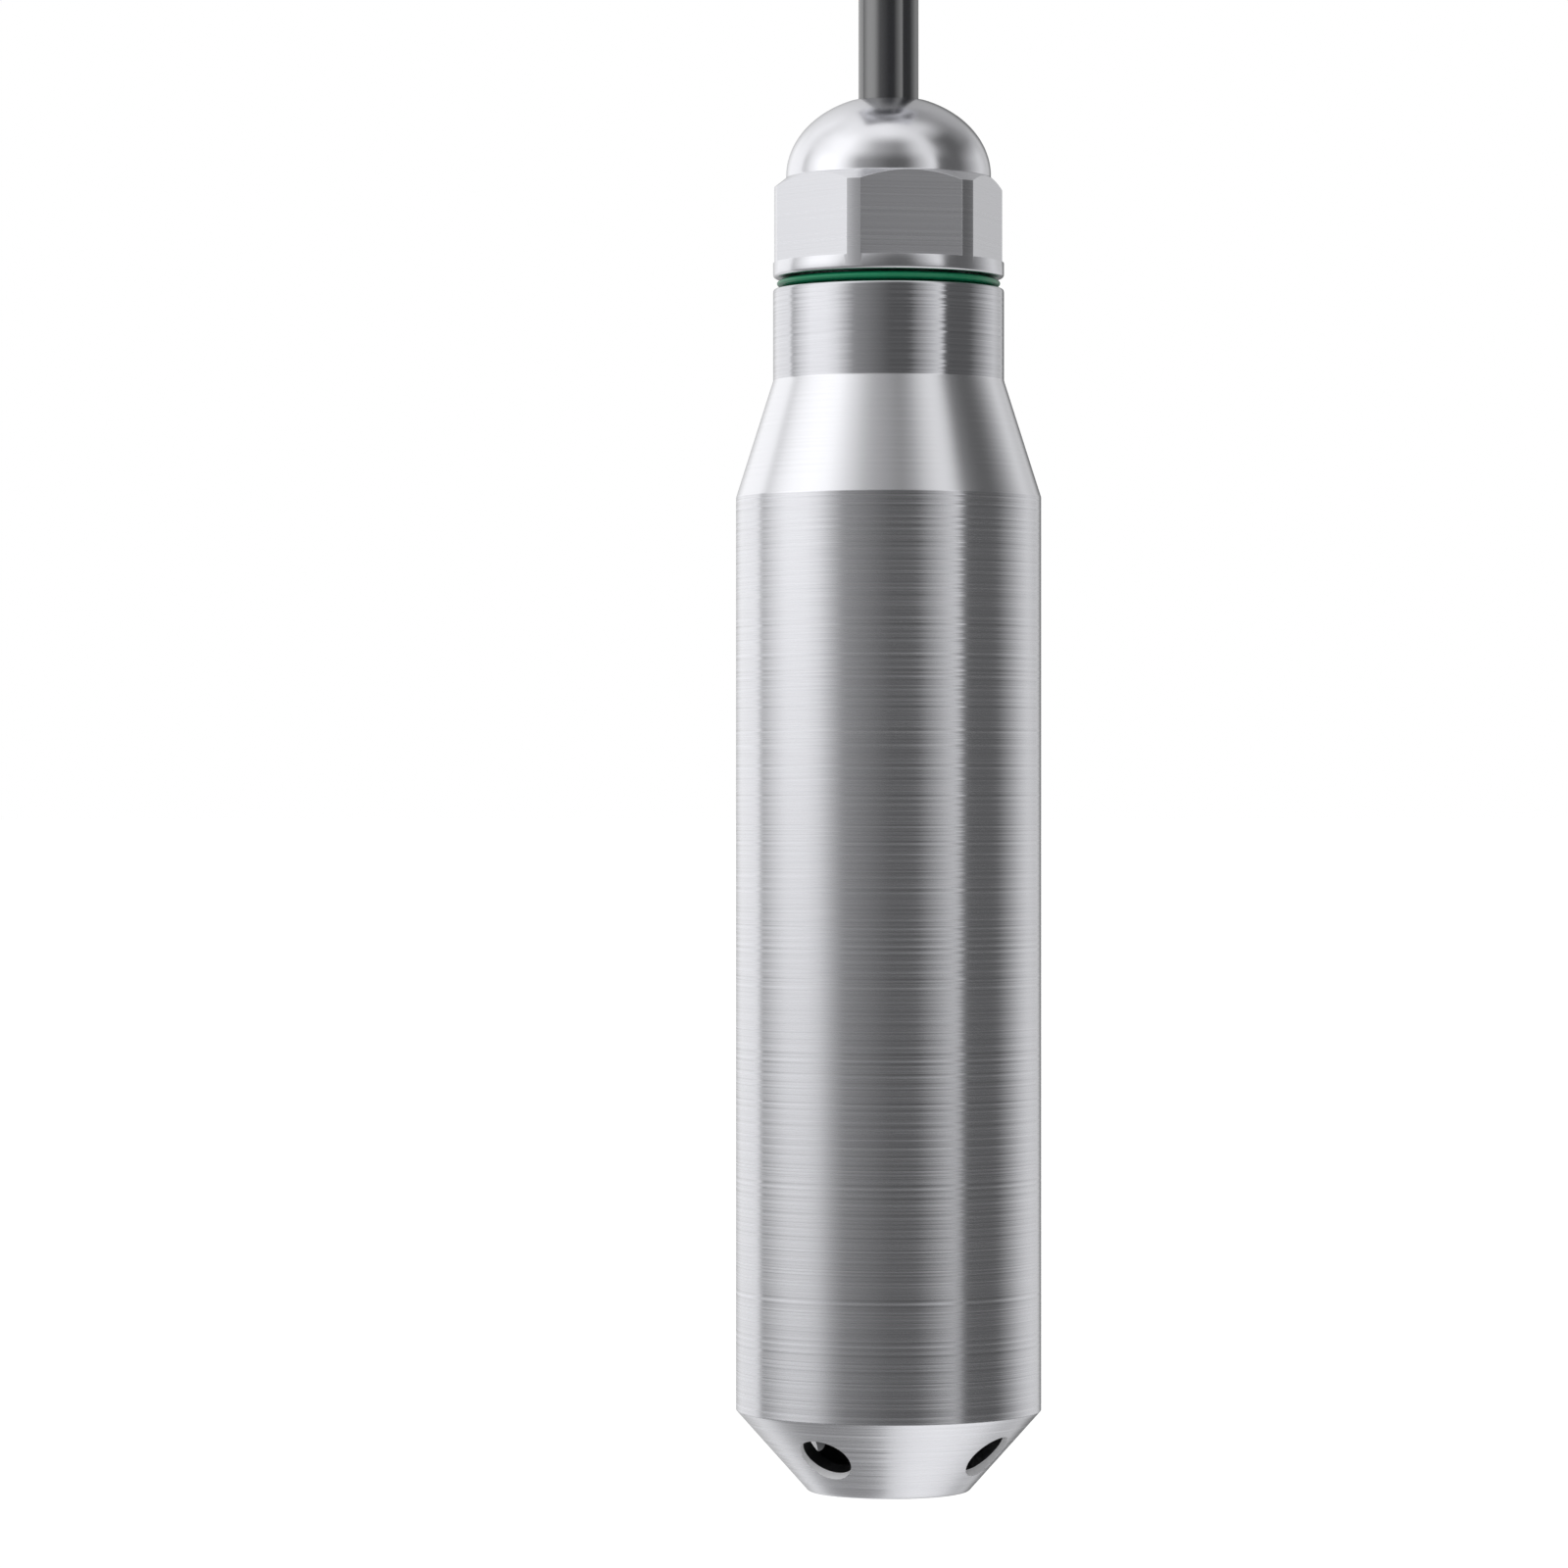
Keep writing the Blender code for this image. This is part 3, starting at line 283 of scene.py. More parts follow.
CEILING_BANDS = (
    (-180.0, 0.60),
    (-164.0, 0.80),
    (-130.0, 1.08),
    (-112.0, 0.88),
    (-95.0, 1.08),
    (-75.0, 1.24),
    (-55.0, 1.24),
    (-46.0, 1.06),
    (-35.0, 0.84),
    (-23.0, 0.54),
    (-12.0, 0.40),
    (10.0, 0.24),
    (20.0, 0.36),
    (32.0, 0.68),
    (44.0, 0.88),
    (54.0, 0.80),
    (66.0, 0.22),
    (82.0, 0.11),
    (98.0, 0.12),
    (110.0, 0.20),
    (124.0, 0.28),
    (140.0, 0.42),
    (160.0, 0.46),
    (180.0, 0.40),
)
OVERHEAD_BANDS = (
    (-180.0, 0.60),
    (-140.0, 0.90),
    (-90.0, 1.00),
    (0.0, 1.00),
    (90.0, 0.70),
    (120.0, 0.36),
    (150.0, 0.30),
    (180.0, 0.60),
)
FLOOR_BANDS = (
    (-180.0, 0.90),
    (-150.0, 0.95),
    (-130.0, 0.28),
    (-83.0, 0.26),
    (-40.0, 0.46),
    (0.0, 0.74),
    (60.0, 1.06),
    (100.0, 1.20),
    (125.0, 0.98),
    (146.0, 0.40),
    (180.0, 0.90),
)


def new_mesh(name, verts, faces):
    """A mesh from corners and faces, welded and with its faces turned outward."""
    mesh = bpy.data.meshes.new(name)
    shape = bmesh.new()
    corners = [shape.verts.new(v) for v in verts]
    for face in faces:
        shape.faces.new([corners[i] for i in face])
    bmesh.ops.remove_doubles(shape, verts=shape.verts, dist=WELD)
    bmesh.ops.recalc_face_normals(shape, faces=shape.faces)
    shape.to_mesh(mesh)
    shape.free()
    return mesh


def eased(outline):
    """An outline of (radius, height, ease) with each corner rounded by its ease."""
    points = []
    count = len(outline)
    for number, (radius, height, ease) in enumerate(outline):
        corner = Vector((radius, height))
        if ease == 0.0:
            points.append(corner)
            continue
        before = Vector(outline[number - 1][:2])
        after = Vector(outline[(number + 1) % count][:2])
        start = corner + (before - corner).normalized() * min(ease, (before - corner).length * EASE_LIMIT)
        end = corner + (after - corner).normalized() * min(ease, (after - corner).length * EASE_LIMIT)
        for step in range(EASE_STEPS + 1):
            t = step / EASE_STEPS
            points.append(start * (1 - t) ** 2 + corner * 2 * t * (1 - t) + end * t**2)
    return points


def turned_mesh(name, outline, segments=FINE_SEGMENTS):
    """A mesh turned about Z from a closed outline, which may run along the axis."""
    points = eased(outline)
    count = len(points)
    verts = [
        (r * cos(2 * pi * turn / segments), r * sin(2 * pi * turn / segments), z)
        for turn in range(segments)
        for r, z in points
    ]
    faces = []
    for turn in range(segments):
        here = turn * count
        there = (turn + 1) % segments * count
        for i in range(count):
            j = (i + 1) % count
            if points[i].x == 0.0 and points[j].x == 0.0:
                continue
            corners = [here + i, here + j, there + j, there + i]
            if points[i].x == 0.0:
                corners.remove(there + i)
            if points[j].x == 0.0:
                corners.remove(there + j)
            faces.append(corners)
    return new_mesh(name, verts, faces)


def smooth(mesh, angle=28.0):
    """Smooth shading, broken at edges sharper than an angle in degrees."""
    mesh.shade_smooth()
    mesh.set_sharp_from_angle(angle=radians(angle))


def add_piece(name, mesh, material, body, slot_name, *nodes):
    """A piece on a body that stands for CAD nodes."""
    piece = bpy.data.objects.new(name, mesh)
    bpy.context.scene.collection.objects.link(piece)
    piece.data.materials.append(material)
    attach(piece, body)
    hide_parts(*nodes)
    if piece.type == "MESH":
        weighted = piece.modifiers.new("even_shading", "WEIGHTED_NORMAL")
        weighted.keep_sharp = True
    return piece


def carved(mesh, cutters):
    """The mesh with each cutter's shape taken out."""
    blank = bpy.data.objects.new(mesh.name, mesh)
    bpy.context.scene.collection.objects.link(blank)
    tools = []
    for cutter in cutters:
        tool = bpy.data.objects.new(cutter.name, cutter)
        bpy.context.scene.collection.objects.link(tool)
        tools.append(tool)
        cut = blank.modifiers.new(cutter.name, "BOOLEAN")
        cut.operation = "DIFFERENCE"
        cut.solver = "EXACT"
        cut.object = tool
    bpy.context.view_layer.update()
    shape = blank.evaluated_get(bpy.context.evaluated_depsgraph_get())
    result = bpy.data.meshes.new_from_object(shape)
    for thing in (blank, *tools):
        bpy.data.objects.remove(thing, do_unlink=True)
    return result


def ease_edges(mesh, width, angle=24.0):
    """Rounds the mesh's sharp edges."""
    shape = bmesh.new()
    shape.from_mesh(mesh)
    bmesh.ops.remove_doubles(shape, verts=shape.verts, dist=4 * SLIVER)
    bmesh.ops.dissolve_degenerate(shape, edges=shape.edges, dist=SLIVER)
    sharp = [e for e in shape.edges if len(e.link_faces) == 2 and e.calc_face_angle() > radians(angle)]
    bmesh.ops.bevel(
        shape, geom=sharp, offset=width, segments=2, profile=0.5, affect="EDGES", clamp_overlap=True
    )
    shape.to_mesh(mesh)
    shape.free()


def hexagon_ring(name, across_flats, bottom, top, facing):
    """A cutter that mills six flats: a ring whose inside is a hexagon."""
    corner = across_flats / 2 / cos(pi / 6)
    outline = [
        (2 * corner, top, 0.0),
        (2 * corner, bottom, 0.0),
        (corner, bottom, 0.0),
        (corner, top, 0.0),
    ]
    mesh = turned_mesh(name, outline, 6)
    mesh.transform(Matrix.Rotation(facing + pi / 6, 4, "Z"))
    return mesh


def new_material(name, colour, roughness, metallic=0.0):
    """A Principled material and its node tree's parts."""
    material = bpy.data.materials.new(name)
    material.use_nodes = True
    shader = material.node_tree.nodes["Principled BSDF"]
    shader.inputs["Base Color"].default_value = (*colour, 1.0)
    shader.inputs["Roughness"].default_value = roughness
    shader.inputs["Metallic"].default_value = metallic
    return material, material.node_tree.nodes, material.node_tree.links, shader


def grain(nodes, links, scale, detail=4.0, roughness=0.6):
    """A noise stretched by its three scales, in the row frame."""
    place = nodes.new("ShaderNodeTexCoord")
    stretch = nodes.new("ShaderNodeMapping")
    stretch.inputs["Scale"].default_value = scale
    noise = nodes.new("ShaderNodeTexNoise")
    noise.inputs["Scale"].default_value = 1.0
    noise.inputs["Detail"].default_value = detail
    noise.inputs["Roughness"].default_value = roughness
    links.new(place.outputs["Object"], stretch.inputs["Vector"])
    links.new(stretch.outputs["Vector"], noise.inputs["Vector"])
    return noise.outputs["Fac"]


def ranged(nodes, links, source, low, high, start=0.3, end=0.7):
    """A value mapped to a range."""
    spread = nodes.new("ShaderNodeMapRange")
    spread.inputs["From Min"].default_value = start
    spread.inputs["From Max"].default_value = end
    spread.inputs["To Min"].default_value = low
    spread.inputs["To Max"].default_value = high
    links.new(source, spread.inputs["Value"])
    return spread.outputs["Result"]


def tinted(nodes, links, source, dark, light, start=0.3, end=0.7):
    """A value turned into a colour between two."""
    ramp = nodes.new("ShaderNodeValToRGB")
    ramp.color_ramp.elements[0].position = start
    ramp.color_ramp.elements[0].color = (*dark, 1.0)
    ramp.color_ramp.elements[1].position = end
    ramp.color_ramp.elements[1].color = (*light, 1.0)
    links.new(source, ramp.inputs["Fac"])
    return ramp.outputs["Color"]


def swayed(nodes, links, source, sway):
    """The surface's normal, turned sideways round Z by a value: most at 0.3 and 0.7, none at 0.5."""
    surface = nodes.new("ShaderNodeNewGeometry")
    sideways = nodes.new("ShaderNodeVectorMath")
    sideways.operation = "CROSS_PRODUCT"
    sideways.inputs[0].default_value = (0.0, 0.0, 1.0)
    links.new(surface.outputs["Normal"], sideways.inputs[1])
    step = nodes.new("ShaderNodeVectorMath")
    step.operation = "SCALE"
    links.new(sideways.outputs["Vector"], step.inputs[0])
    links.new(ranged(nodes, links, source, -sway, sway), step.inputs["Scale"])
    turned = nodes.new("ShaderNodeVectorMath")
    links.new(surface.outputs["Normal"], turned.inputs[0])
    links.new(step.outputs["Vector"], turned.inputs[1])
    unit = nodes.new("ShaderNodeVectorMath")
    unit.operation = "NORMALIZE"
    links.new(turned.outputs["Vector"], unit.inputs[0])
    return unit.outputs["Vector"]


def bumped(nodes, links, shader, height, strength, distance, normal=None):
    """A bump on a shader from a height, over a normal if one is given."""
    bump = nodes.new("ShaderNodeBump")
    if normal is not None:
        links.new(normal, bump.inputs["Normal"])
    bump.inputs["Strength"].default_value = strength
    bump.inputs["Distance"].default_value = distance
    links.new(height, bump.inputs["Height"])
    links.new(bump.outputs["Normal"], shader.inputs["Normal"])


def scaled(colour, factor):
    """A colour made lighter or darker."""
    return tuple(channel * factor for channel in colour)


def rings(nodes, links, scale, detail):
    """A noise that changes along Z only: one value for each ring round the axis."""
    place = nodes.new("ShaderNodeTexCoord")
    split = nodes.new("ShaderNodeSeparateXYZ")
    noise = nodes.new("ShaderNodeTexNoise")
    noise.noise_dimensions = "1D"
    noise.inputs["Scale"].default_value = scale
    noise.inputs["Detail"].default_value = detail
    noise.inputs["Roughness"].default_value = 0.7
    links.new(place.outputs["Object"], split.inputs["Vector"])
    links.new(split.outputs["Z"], noise.inputs["W"])
    return noise.outputs["Fac"]


def turned_metal(name, colour, roughness, lines, spread=0.7):
    """Metal with fine lines round the axis. lines is how strongly they show."""
    material, nodes, links, shader = new_material(name, colour, roughness, 1.0)
    full = rings(nodes, links, LINE_SCALE, 3.0)
    stretch = (BROKEN_REACH, BROKEN_REACH, BROKEN_LINES * LINE_SCALE)
    broken = grain(nodes, links, stretch, 2.0, 0.6)
    both = nodes.new("ShaderNodeMix")
    both.inputs["Factor"].default_value = BROKEN_SHARE
    links.new(full, both.inputs[2])
    links.new(broken, both.inputs[3])
    dark = scaled(colour, 1 - LINE_DARK * lines)
    light = scaled(colour, 1 + LINE_LIGHT * lines)
    tone = tinted(nodes, links, both.outputs[0], dark, light)
    links.new(tone, shader.inputs["Base Color"])
    change = roughness * LINE_ROUGH * lines
    rough = ranged(nodes, links, full, roughness - change, roughness + change)
    links.new(rough, shader.inputs["Roughness"])
    normal = swayed(nodes, links, full, LINE_SWAY * lines)
    bumped(nodes, links, shader, both.outputs[0], LINE_BUMP * lines, 0.02 * MM, normal)
    shader.inputs["Anisotropic"].default_value = spread
    shader.inputs["Anisotropic Rotation"].default_value = QUARTER_TURN
    around = nodes.new("ShaderNodeTangent")
    around.direction_type = "RADIAL"
    around.axis = "Z"
    links.new(around.outputs["Tangent"], shader.inputs["Tangent"])
    return material


def satin_metal(name, colour, roughness, metallic=1.0):
    """Blasted or tumbled metal with a fine even grain."""
    material, nodes, links, shader = new_material(name, colour, roughness, metallic)
    speck = grain(nodes, links, 3 * (SATIN_SPECK,), 3.0, 0.6)
    cloud = grain(nodes, links, 3 * (SATIN_CLOUD,), 4.0, 0.6)
    tone = tinted(nodes, links, cloud, scaled(colour, 0.96), scaled(colour, 1.03))
    links.new(tone, shader.inputs["Base Color"])
    rough = ranged(nodes, links, cloud, roughness * 0.92, roughness * 1.08)
    links.new(rough, shader.inputs["Roughness"])
    bumped(nodes, links, shader, speck, 0.06, 0.01 * MM)
    return material


def moulded(name, colour, roughness, depth=0.1, specks=MOULD_SPECK):
    """Rubber or plastic with a fine grain and a slightly uneven tone."""
    material, nodes, links, shader = new_material(name, colour, roughness)
    cloud = grain(nodes, links, 3 * (MOULD_CLOUD,), 4.0, 0.6)
    speck = grain(nodes, links, 3 * (specks,), 2.0, 0.5)
    tone = tinted(nodes, links, cloud, scaled(colour, 0.88), scaled(colour, 1.12))
    links.new(tone, shader.inputs["Base Color"])
    rough = ranged(nodes, links, cloud, roughness * 0.9, roughness * 1.12)
    links.new(rough, shader.inputs["Roughness"])
    bumped(nodes, links, shader, speck, depth, 0.02 * MM)
    return material


BODY_STEEL = turned_metal("body_steel", (0.775, 0.778, 0.812), 0.24, 1.0)
FLANGE_STEEL = turned_metal("flange_steel", (0.775, 0.778, 0.812), 0.24, 0.4)
SHOULDER_STEEL = turned_metal("shoulder_steel", (0.825, 0.828, 0.860), 0.24, 0.2)
HEX_STEEL = turned_metal("hexagon_steel", (0.745, 0.748, 0.780), 0.26, 0.22, 0.3)
NECK_STEEL = turned_metal("neck_steel", (0.665, 0.668, 0.700), 0.18, 1.0)
# Painted highlight: a near-white, mostly non-metal copy of the steel for the inlets' lips, so that they
# show bright.
LIP_PAINTED_HIGHLIGHT = satin_metal("lip_painted_highlight", (0.940, 0.940, 0.960), 0.50, 0.15)
# Painted shade: a near-black copy of the steel for the inside of the nose's chamber and the depths of the
# inlets, where little light gets in.
CHAMBER_PAINTED_SHADE = satin_metal("chamber_painted_shade", (0.100, 0.100, 0.106), 0.50)
DOME_STEEL = satin_metal("dome_steel", (0.790, 0.792, 0.825), 0.20)
HANGER_STEEL = turned_metal("hanger_steel", (0.730, 0.733, 0.765), 0.28, 0.4, 0.3)
STRIP_STEEL = satin_metal("strip_steel", (0.655, 0.658, 0.685), 0.36)
GREEN_RUBBER = moulded("green_rubber", (0.002, 0.180, 0.078), 0.32)
CABLE_RUBBER = moulded("cable_rubber", (0.006, 0.007, 0.011), 0.14, 0.01)
CABLE_RUBBER.node_tree.nodes["Principled BSDF"].inputs["IOR"].default_value = 2.5
RED_PLASTIC = moulded("red_plastic", (0.50, 0.018, 0.016), 0.36)
BLACK_PLASTIC = moulded("black_plastic", (0.020, 0.020, 0.022), 0.36)
VENT_PLASTIC = moulded("vent_plastic", (0.62, 0.64, 0.66), 0.30)
BRIGHT_STEEL = turned_metal("bright_steel", (0.76, 0.76, 0.78), 0.22, 0.5)

# What the CAD nodes that stay in view are painted with, by their slot in the record.
NODE_FINISHES = {
    "milled_steel": turned_metal("cell_steel", (0.72, 0.72, 0.74), 0.24, 0.5),
    "bright_steel": BRIGHT_STEEL,
    "black_rubber": moulded("black_rubber", (0.018, 0.018, 0.020), 0.60),
    "white_nylon": moulded("white_nylon", (0.72, 0.71, 0.67), 0.50),
    "board_laminate": moulded("board_laminate", (0.020, 0.120, 0.045), 0.42),
    "chip_epoxy": moulded("chip_epoxy", (0.026, 0.026, 0.028), 0.55, 0.3, CHIP_SPECK),
    "capacitor_ceramic": moulded("capacitor_ceramic", (0.38, 0.24, 0.13), 0.50),
    "arrester_ceramic": moulded("arrester_ceramic", (0.70, 0.68, 0.64), 0.30),
    "terminal_plastic": moulded("terminal_plastic", (0.040, 0.170, 0.070), 0.46),
    "gold_plate": satin_metal("gold_plate", (0.90, 0.66, 0.28), 0.24),
    "silicon": satin_metal("silicon", (0.20, 0.21, 0.24), 0.16),
    "red_insulation": RED_PLASTIC,
    "black_insulation": BLACK_PLASTIC,
    "white_insulation": moulded("white_plastic", (0.70, 0.70, 0.68), 0.40),
    "vent_plastic": VENT_PLASTIC,
}


def make_camera():
    """The photo's camera."""
    camera = bpy.data.objects.new("camera", bpy.data.cameras.new("camera"))
    camera.data.lens = CAMERA_LENS
    camera.data.sensor_width = CAMERA_SENSOR
    camera.data.clip_start = 10.0 * MM
    camera.data.clip_end = 100.0
    camera.location = (-CAMERA_LEFT_OF_AXIS, -CAMERA_DISTANCE, NOSE_Z + CAMERA_ABOVE_NOSE)
    camera.rotation_euler = (pi / 2, 0.0, 0.0)
    bpy.context.scene.collection.objects.link(camera)
    bpy.context.scene.camera = camera


def make_cable():
    """The straight jacket, from inside the gland nut to just above the hanger's gland."""
    curve = bpy.data.curves.new("cable_jacket", "CURVE")
    curve.dimensions = "3D"
    curve.bevel_depth = CABLE_RADIUS
    curve.bevel_resolution = 14
    curve.use_fill_caps = True
    spline = curve.splines.new("POLY")
    length = CABLE_HIGH.z - CABLE_LOW.z
    spline.points.add(CABLE_POINTS - 1)
    for number, point in enumerate(spline.points):
        point.co = (0.0, 0.0, CABLE_LOW.z + length * number / (CABLE_POINTS - 1), 1.0)
    cable = add_piece("cable_jacket", curve, CABLE_RUBBER, SENSOR, "cable_jacket", "cable")


def make_body():
    """The turned tube with its shoulder and neck."""
    neck_bottom = NECK_TOP - NECK_LENGTH
    shoulder_bottom = neck_bottom - SHOULDER_LENGTH
    mouth_top = SEAM_Z + MOUTH_DEPTH
    bay_top = shoulder_bottom - BAY_BELOW_SHOULDER
    cell_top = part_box("pressure_cell")[1].z + CLEARANCE
    outline = [
        (NECK_RADIUS, NECK_TOP, SOFT),
        (NECK_RADIUS, neck_bottom, NECK_EASE),
        (BODY_RADIUS, shoulder_bottom, SHOULDER_EASE),
        (BODY_RADIUS, SEAM_Z, CRISP),
        (MOUTH_RADIUS, SEAM_Z, EASED),
        (MOUTH_RADIUS, mouth_top, 0.0),
        (CELL_BORE_RADIUS, mouth_top, 0.0),
        (CELL_BORE_RADIUS, cell_top, 0.0),
        (BAY_RADIUS, cell_top, 0.0),
        (BAY_RADIUS, bay_top, 0.0),
        (THROAT_RADIUS, bay_top + BAY_RADIUS - THROAT_RADIUS, 0.0),
        (THROAT_RADIUS, NECK_TOP - GLAND_BORE_DEPTH, 0.0),
        (GLAND_BORE_RADIUS, NECK_TOP - GLAND_BORE_DEPTH, 0.0),
        (GLAND_BORE_RADIUS, NECK_TOP, SOFT),
    ]
    mesh = turned_mesh("turned_body", outline)
    smooth(mesh)
    body = add_piece("turned_body", mesh, BODY_STEEL, SENSOR, "turned_steel", "housing_body")
    body.data.materials.append(SHOULDER_STEEL)
    body.data.materials.append(NECK_STEEL)
    for face in mesh.polygons:
        middle = face.center
        if Vector(middle[:2]).length < GLAND_BORE_RADIUS + CLEARANCE:
            continue
        if middle.z > neck_bottom:
            face.material_index = 2
        elif middle.z > shoulder_bottom and Vector(middle[:2]).length > NECK_RADIUS:
            face.material_index = 1


def between(start, end, count):
    """The plain corners that part a straight run of an outline into equal lengths."""
    points = []
    for i in range(1, count):
        radius, height = (a - (a - b) * i / count for a, b in zip(start, end))
        points.append((radius, height, 0.0))
    return points


def make_nose_cap():
    """The cone with its inlets, drain and threaded spigot."""
    nose_height = SEAM_Z - NOSE_Z
    slope = (BODY_RADIUS - NOSE_FACE_RADIUS) / nose_height
    rim = SEAM_Z - SEAM_GAP
    rim_radius = NOSE_FACE_RADIUS + (rim - NOSE_Z) * slope
    spigot = MOUTH_RADIUS - CLEARANCE
    floor_z = NOSE_Z + NOSE_FLOOR
    floor_radius = NOSE_FACE_RADIUS + NOSE_FLOOR * slope - NOSE_WALL * sqrt(1 + slope**2)
    chamber_z = floor_z + (CHAMBER_RADIUS - floor_radius) / slope
    outline = [
        (spigot - THREAD_DEPTH, CAP_HIGH.z, 0.0),
        *thread(spigot, CAP_HIGH.z, rim + THREAD_FROM_RIM),
        (spigot - THREAD_DEPTH, rim, 0.0),
        (rim_radius, rim, CRISP),
        *between((rim_radius, rim), (NOSE_FACE_RADIUS, NOSE_Z), CONE_RINGS),
        (NOSE_FACE_RADIUS, NOSE_Z, TRIMMED),
        (DRAIN_RADIUS, NOSE_Z, EASED),
        (DRAIN_RADIUS, floor_z, SLIGHT),
        (floor_radius, floor_z, 0.0),
        (CHAMBER_RADIUS, chamber_z, 0.0),
        (CHAMBER_RADIUS, CAP_HIGH.z, EASED),
    ]
    drills = []
    reach = 2 * (BODY_RADIUS - CHAMBER_RADIUS)
    outward = Vector((1.0, 0.0, -slope)).normalized()
    aim = outward.to_track_quat("Z", "Y").to_matrix().to_4x4()
    place = Matrix.Translation(((NOSE_FACE_RADIUS + BODY_RADIUS) / 2, 0.0, NOSE_Z + nose_height / 2))
    for number in range(INLET_COUNT):
        bore = [
            (0.0, reach, 0.0),
            (INLET_RADIUS, reach, 0.0),
            (INLET_RADIUS, -INLET_LIP, 0.0),
            (INLET_RADIUS, -reach, 0.0),
            (0.0, -reach, 0.0),
        ]
        drill = turned_mesh(f"inlet_drill_{number + 1}", bore, DRILL_SEGMENTS)
        around = Matrix.Rotation(INLET_FIRST_ANGLE + 2 * pi * number / INLET_COUNT, 4, "Z")
        drill.transform(around @ place @ aim)
        drills.append(drill)
    mesh = carved(turned_mesh("drilled_nose_cap", outline), drills)
    smooth(mesh)
    add_piece("drilled_nose_cap", mesh, BODY_STEEL, CAP, "turned_steel", "nose_cap")
    mesh.materials.append(LIP_PAINTED_HIGHLIGHT)
    mesh.materials.append(CHAMBER_PAINTED_SHADE)
    # Painted shade on the chamber's wall and deep in the inlets, in slot 2.
    for face in mesh.polygons:
        height = face.center.z
        radius = Vector(face.center[:2]).length
        depth = (NOSE_FACE_RADIUS + (height - NOSE_Z) * slope - radius) / sqrt(1 + slope**2)
        if height > rim and radius < CHAMBER_RADIUS + FACE_GAP:
            face.material_index = 2
        elif floor_z - FACE_GAP < height < rim and depth > INLET_LIP:
            face.material_index = 2
        # Painted highlight on the inlets' lips, in slot 1.
        elif floor_z - FACE_GAP < height < rim and depth > FACE_GAP:
            face.material_index = 1


def thread(crest, top, bottom):
    """The outline of a thread's grooves, down the outside between two heights."""
    turns = int((top - bottom) / THREAD_PITCH)
    points = []
    for number in range(turns):
        height = top - THREAD_PITCH * (number + 0.5)
        points.append((crest, height + THREAD_CREST / 2, 0.0))
        points.append((crest, height - THREAD_CREST / 2, 0.0))
        points.append((crest - THREAD_DEPTH, height - THREAD_PITCH / 2, 0.0))
    return points


def make_gland_nut():
    """The nut: flange, hexagon and dome."""
    hex_bottom = NUT_BOTTOM + FLANGE_HEIGHT
    hex_top = hex_bottom + HEX_HEIGHT
    hole = CABLE_RADIUS + CLEARANCE
    start = acos((hole + MOUTH_EASE) / DOME_RADIUS)
    turns = [start * (1 - i / DOME_STEPS) for i in range(DOME_STEPS + 1)]
    dome = [(DOME_RADIUS * cos(a), hex_top + DOME_HEIGHT * sin(a), 0.0) for a in turns]
    chamfer = (NUT_RADIUS - DOME_RADIUS) * tan(DOME_CHAMFER_ANGLE)
    spigot = GLAND_BORE_RADIUS - CLEARANCE
    bore = spigot - NUT_WALL
    seat = NUT_BOTTOM + NUT_CONE_ABOVE
    outline = [
        *dome,
        (DOME_RADIUS, hex_top - DOME_STEP, 0.0),
        (NUT_RADIUS, hex_top - DOME_STEP - chamfer, 0.0),
        (NUT_RADIUS, NUT_BOTTOM, SOFT),
        (spigot, NUT_BOTTOM, 0.0),
        (spigot, NUT_LOW.z, EASED),
        (bore, NUT_LOW.z, EASED),
        (bore, NUT_BOTTOM - NUT_CONE_BELOW, 0.0),
        (NUT_CONE_RADIUS, seat, 0.0),
        (hole, seat, 0.0),
        (hole, dome[0][1] - MOUTH_EASE, SOFT),
    ]
    mill = hexagon_ring("flats_mill", HEX_ACROSS_FLATS, hex_bottom, NUT_HIGH.z, HEX_FACING)
    mesh = carved(turned_mesh("domed_gland_nut", outline), [mill])
    ease_edges(mesh, HEX_EDGE)
    smooth(mesh)
    nut = add_piece("domed_gland_nut", mesh, HEX_STEEL, SENSOR, "milled_steel", "gland_nut")
    nut.data.materials.append(DOME_STEEL)
    nut.data.materials.append(FLANGE_STEEL)
    for face in mesh.polygons:
        if face.center.z > hex_top - DOME_STEP:
            face.material_index = 1
        elif face.center.z < hex_bottom or face.normal.z > sin(DOME_CHAMFER_ANGLE):
            face.material_index = 2


def make_seal_ring():
    """The green ring between the neck and the nut's flange."""
    half_height = (NUT_BOTTOM - NECK_TOP) / 2 - FACE_GAP
    height = (NUT_BOTTOM + NECK_TOP) / 2
    turns = [pi / 2 - 2 * pi * i / RING_STEPS for i in range(RING_STEPS)]
    outline = [
        (RING_RADIUS + RING_HALF_WIDTH * cos(a), height + half_height * sin(a), 0.0) for a in turns
    ]
    mesh = turned_mesh("green_seal_ring", outline)
    mesh.shade_smooth()
    add_piece("green_seal_ring", mesh, GREEN_RUBBER, SENSOR, "green_rubber", "neck_seal_ring")


def hexagonal(name, outline, across_flats, bottom, top, facing, segments=INNER_SEGMENTS):
    """A turned mesh with six flats milled on it."""
    mill = hexagon_ring(f"{name}_mill", across_flats, bottom, top, facing)
    mesh = carved(turned_mesh(name, outline, segments), [mill])
    ease_edges(mesh, HEX_EDGE)
    smooth(mesh)
    return mesh


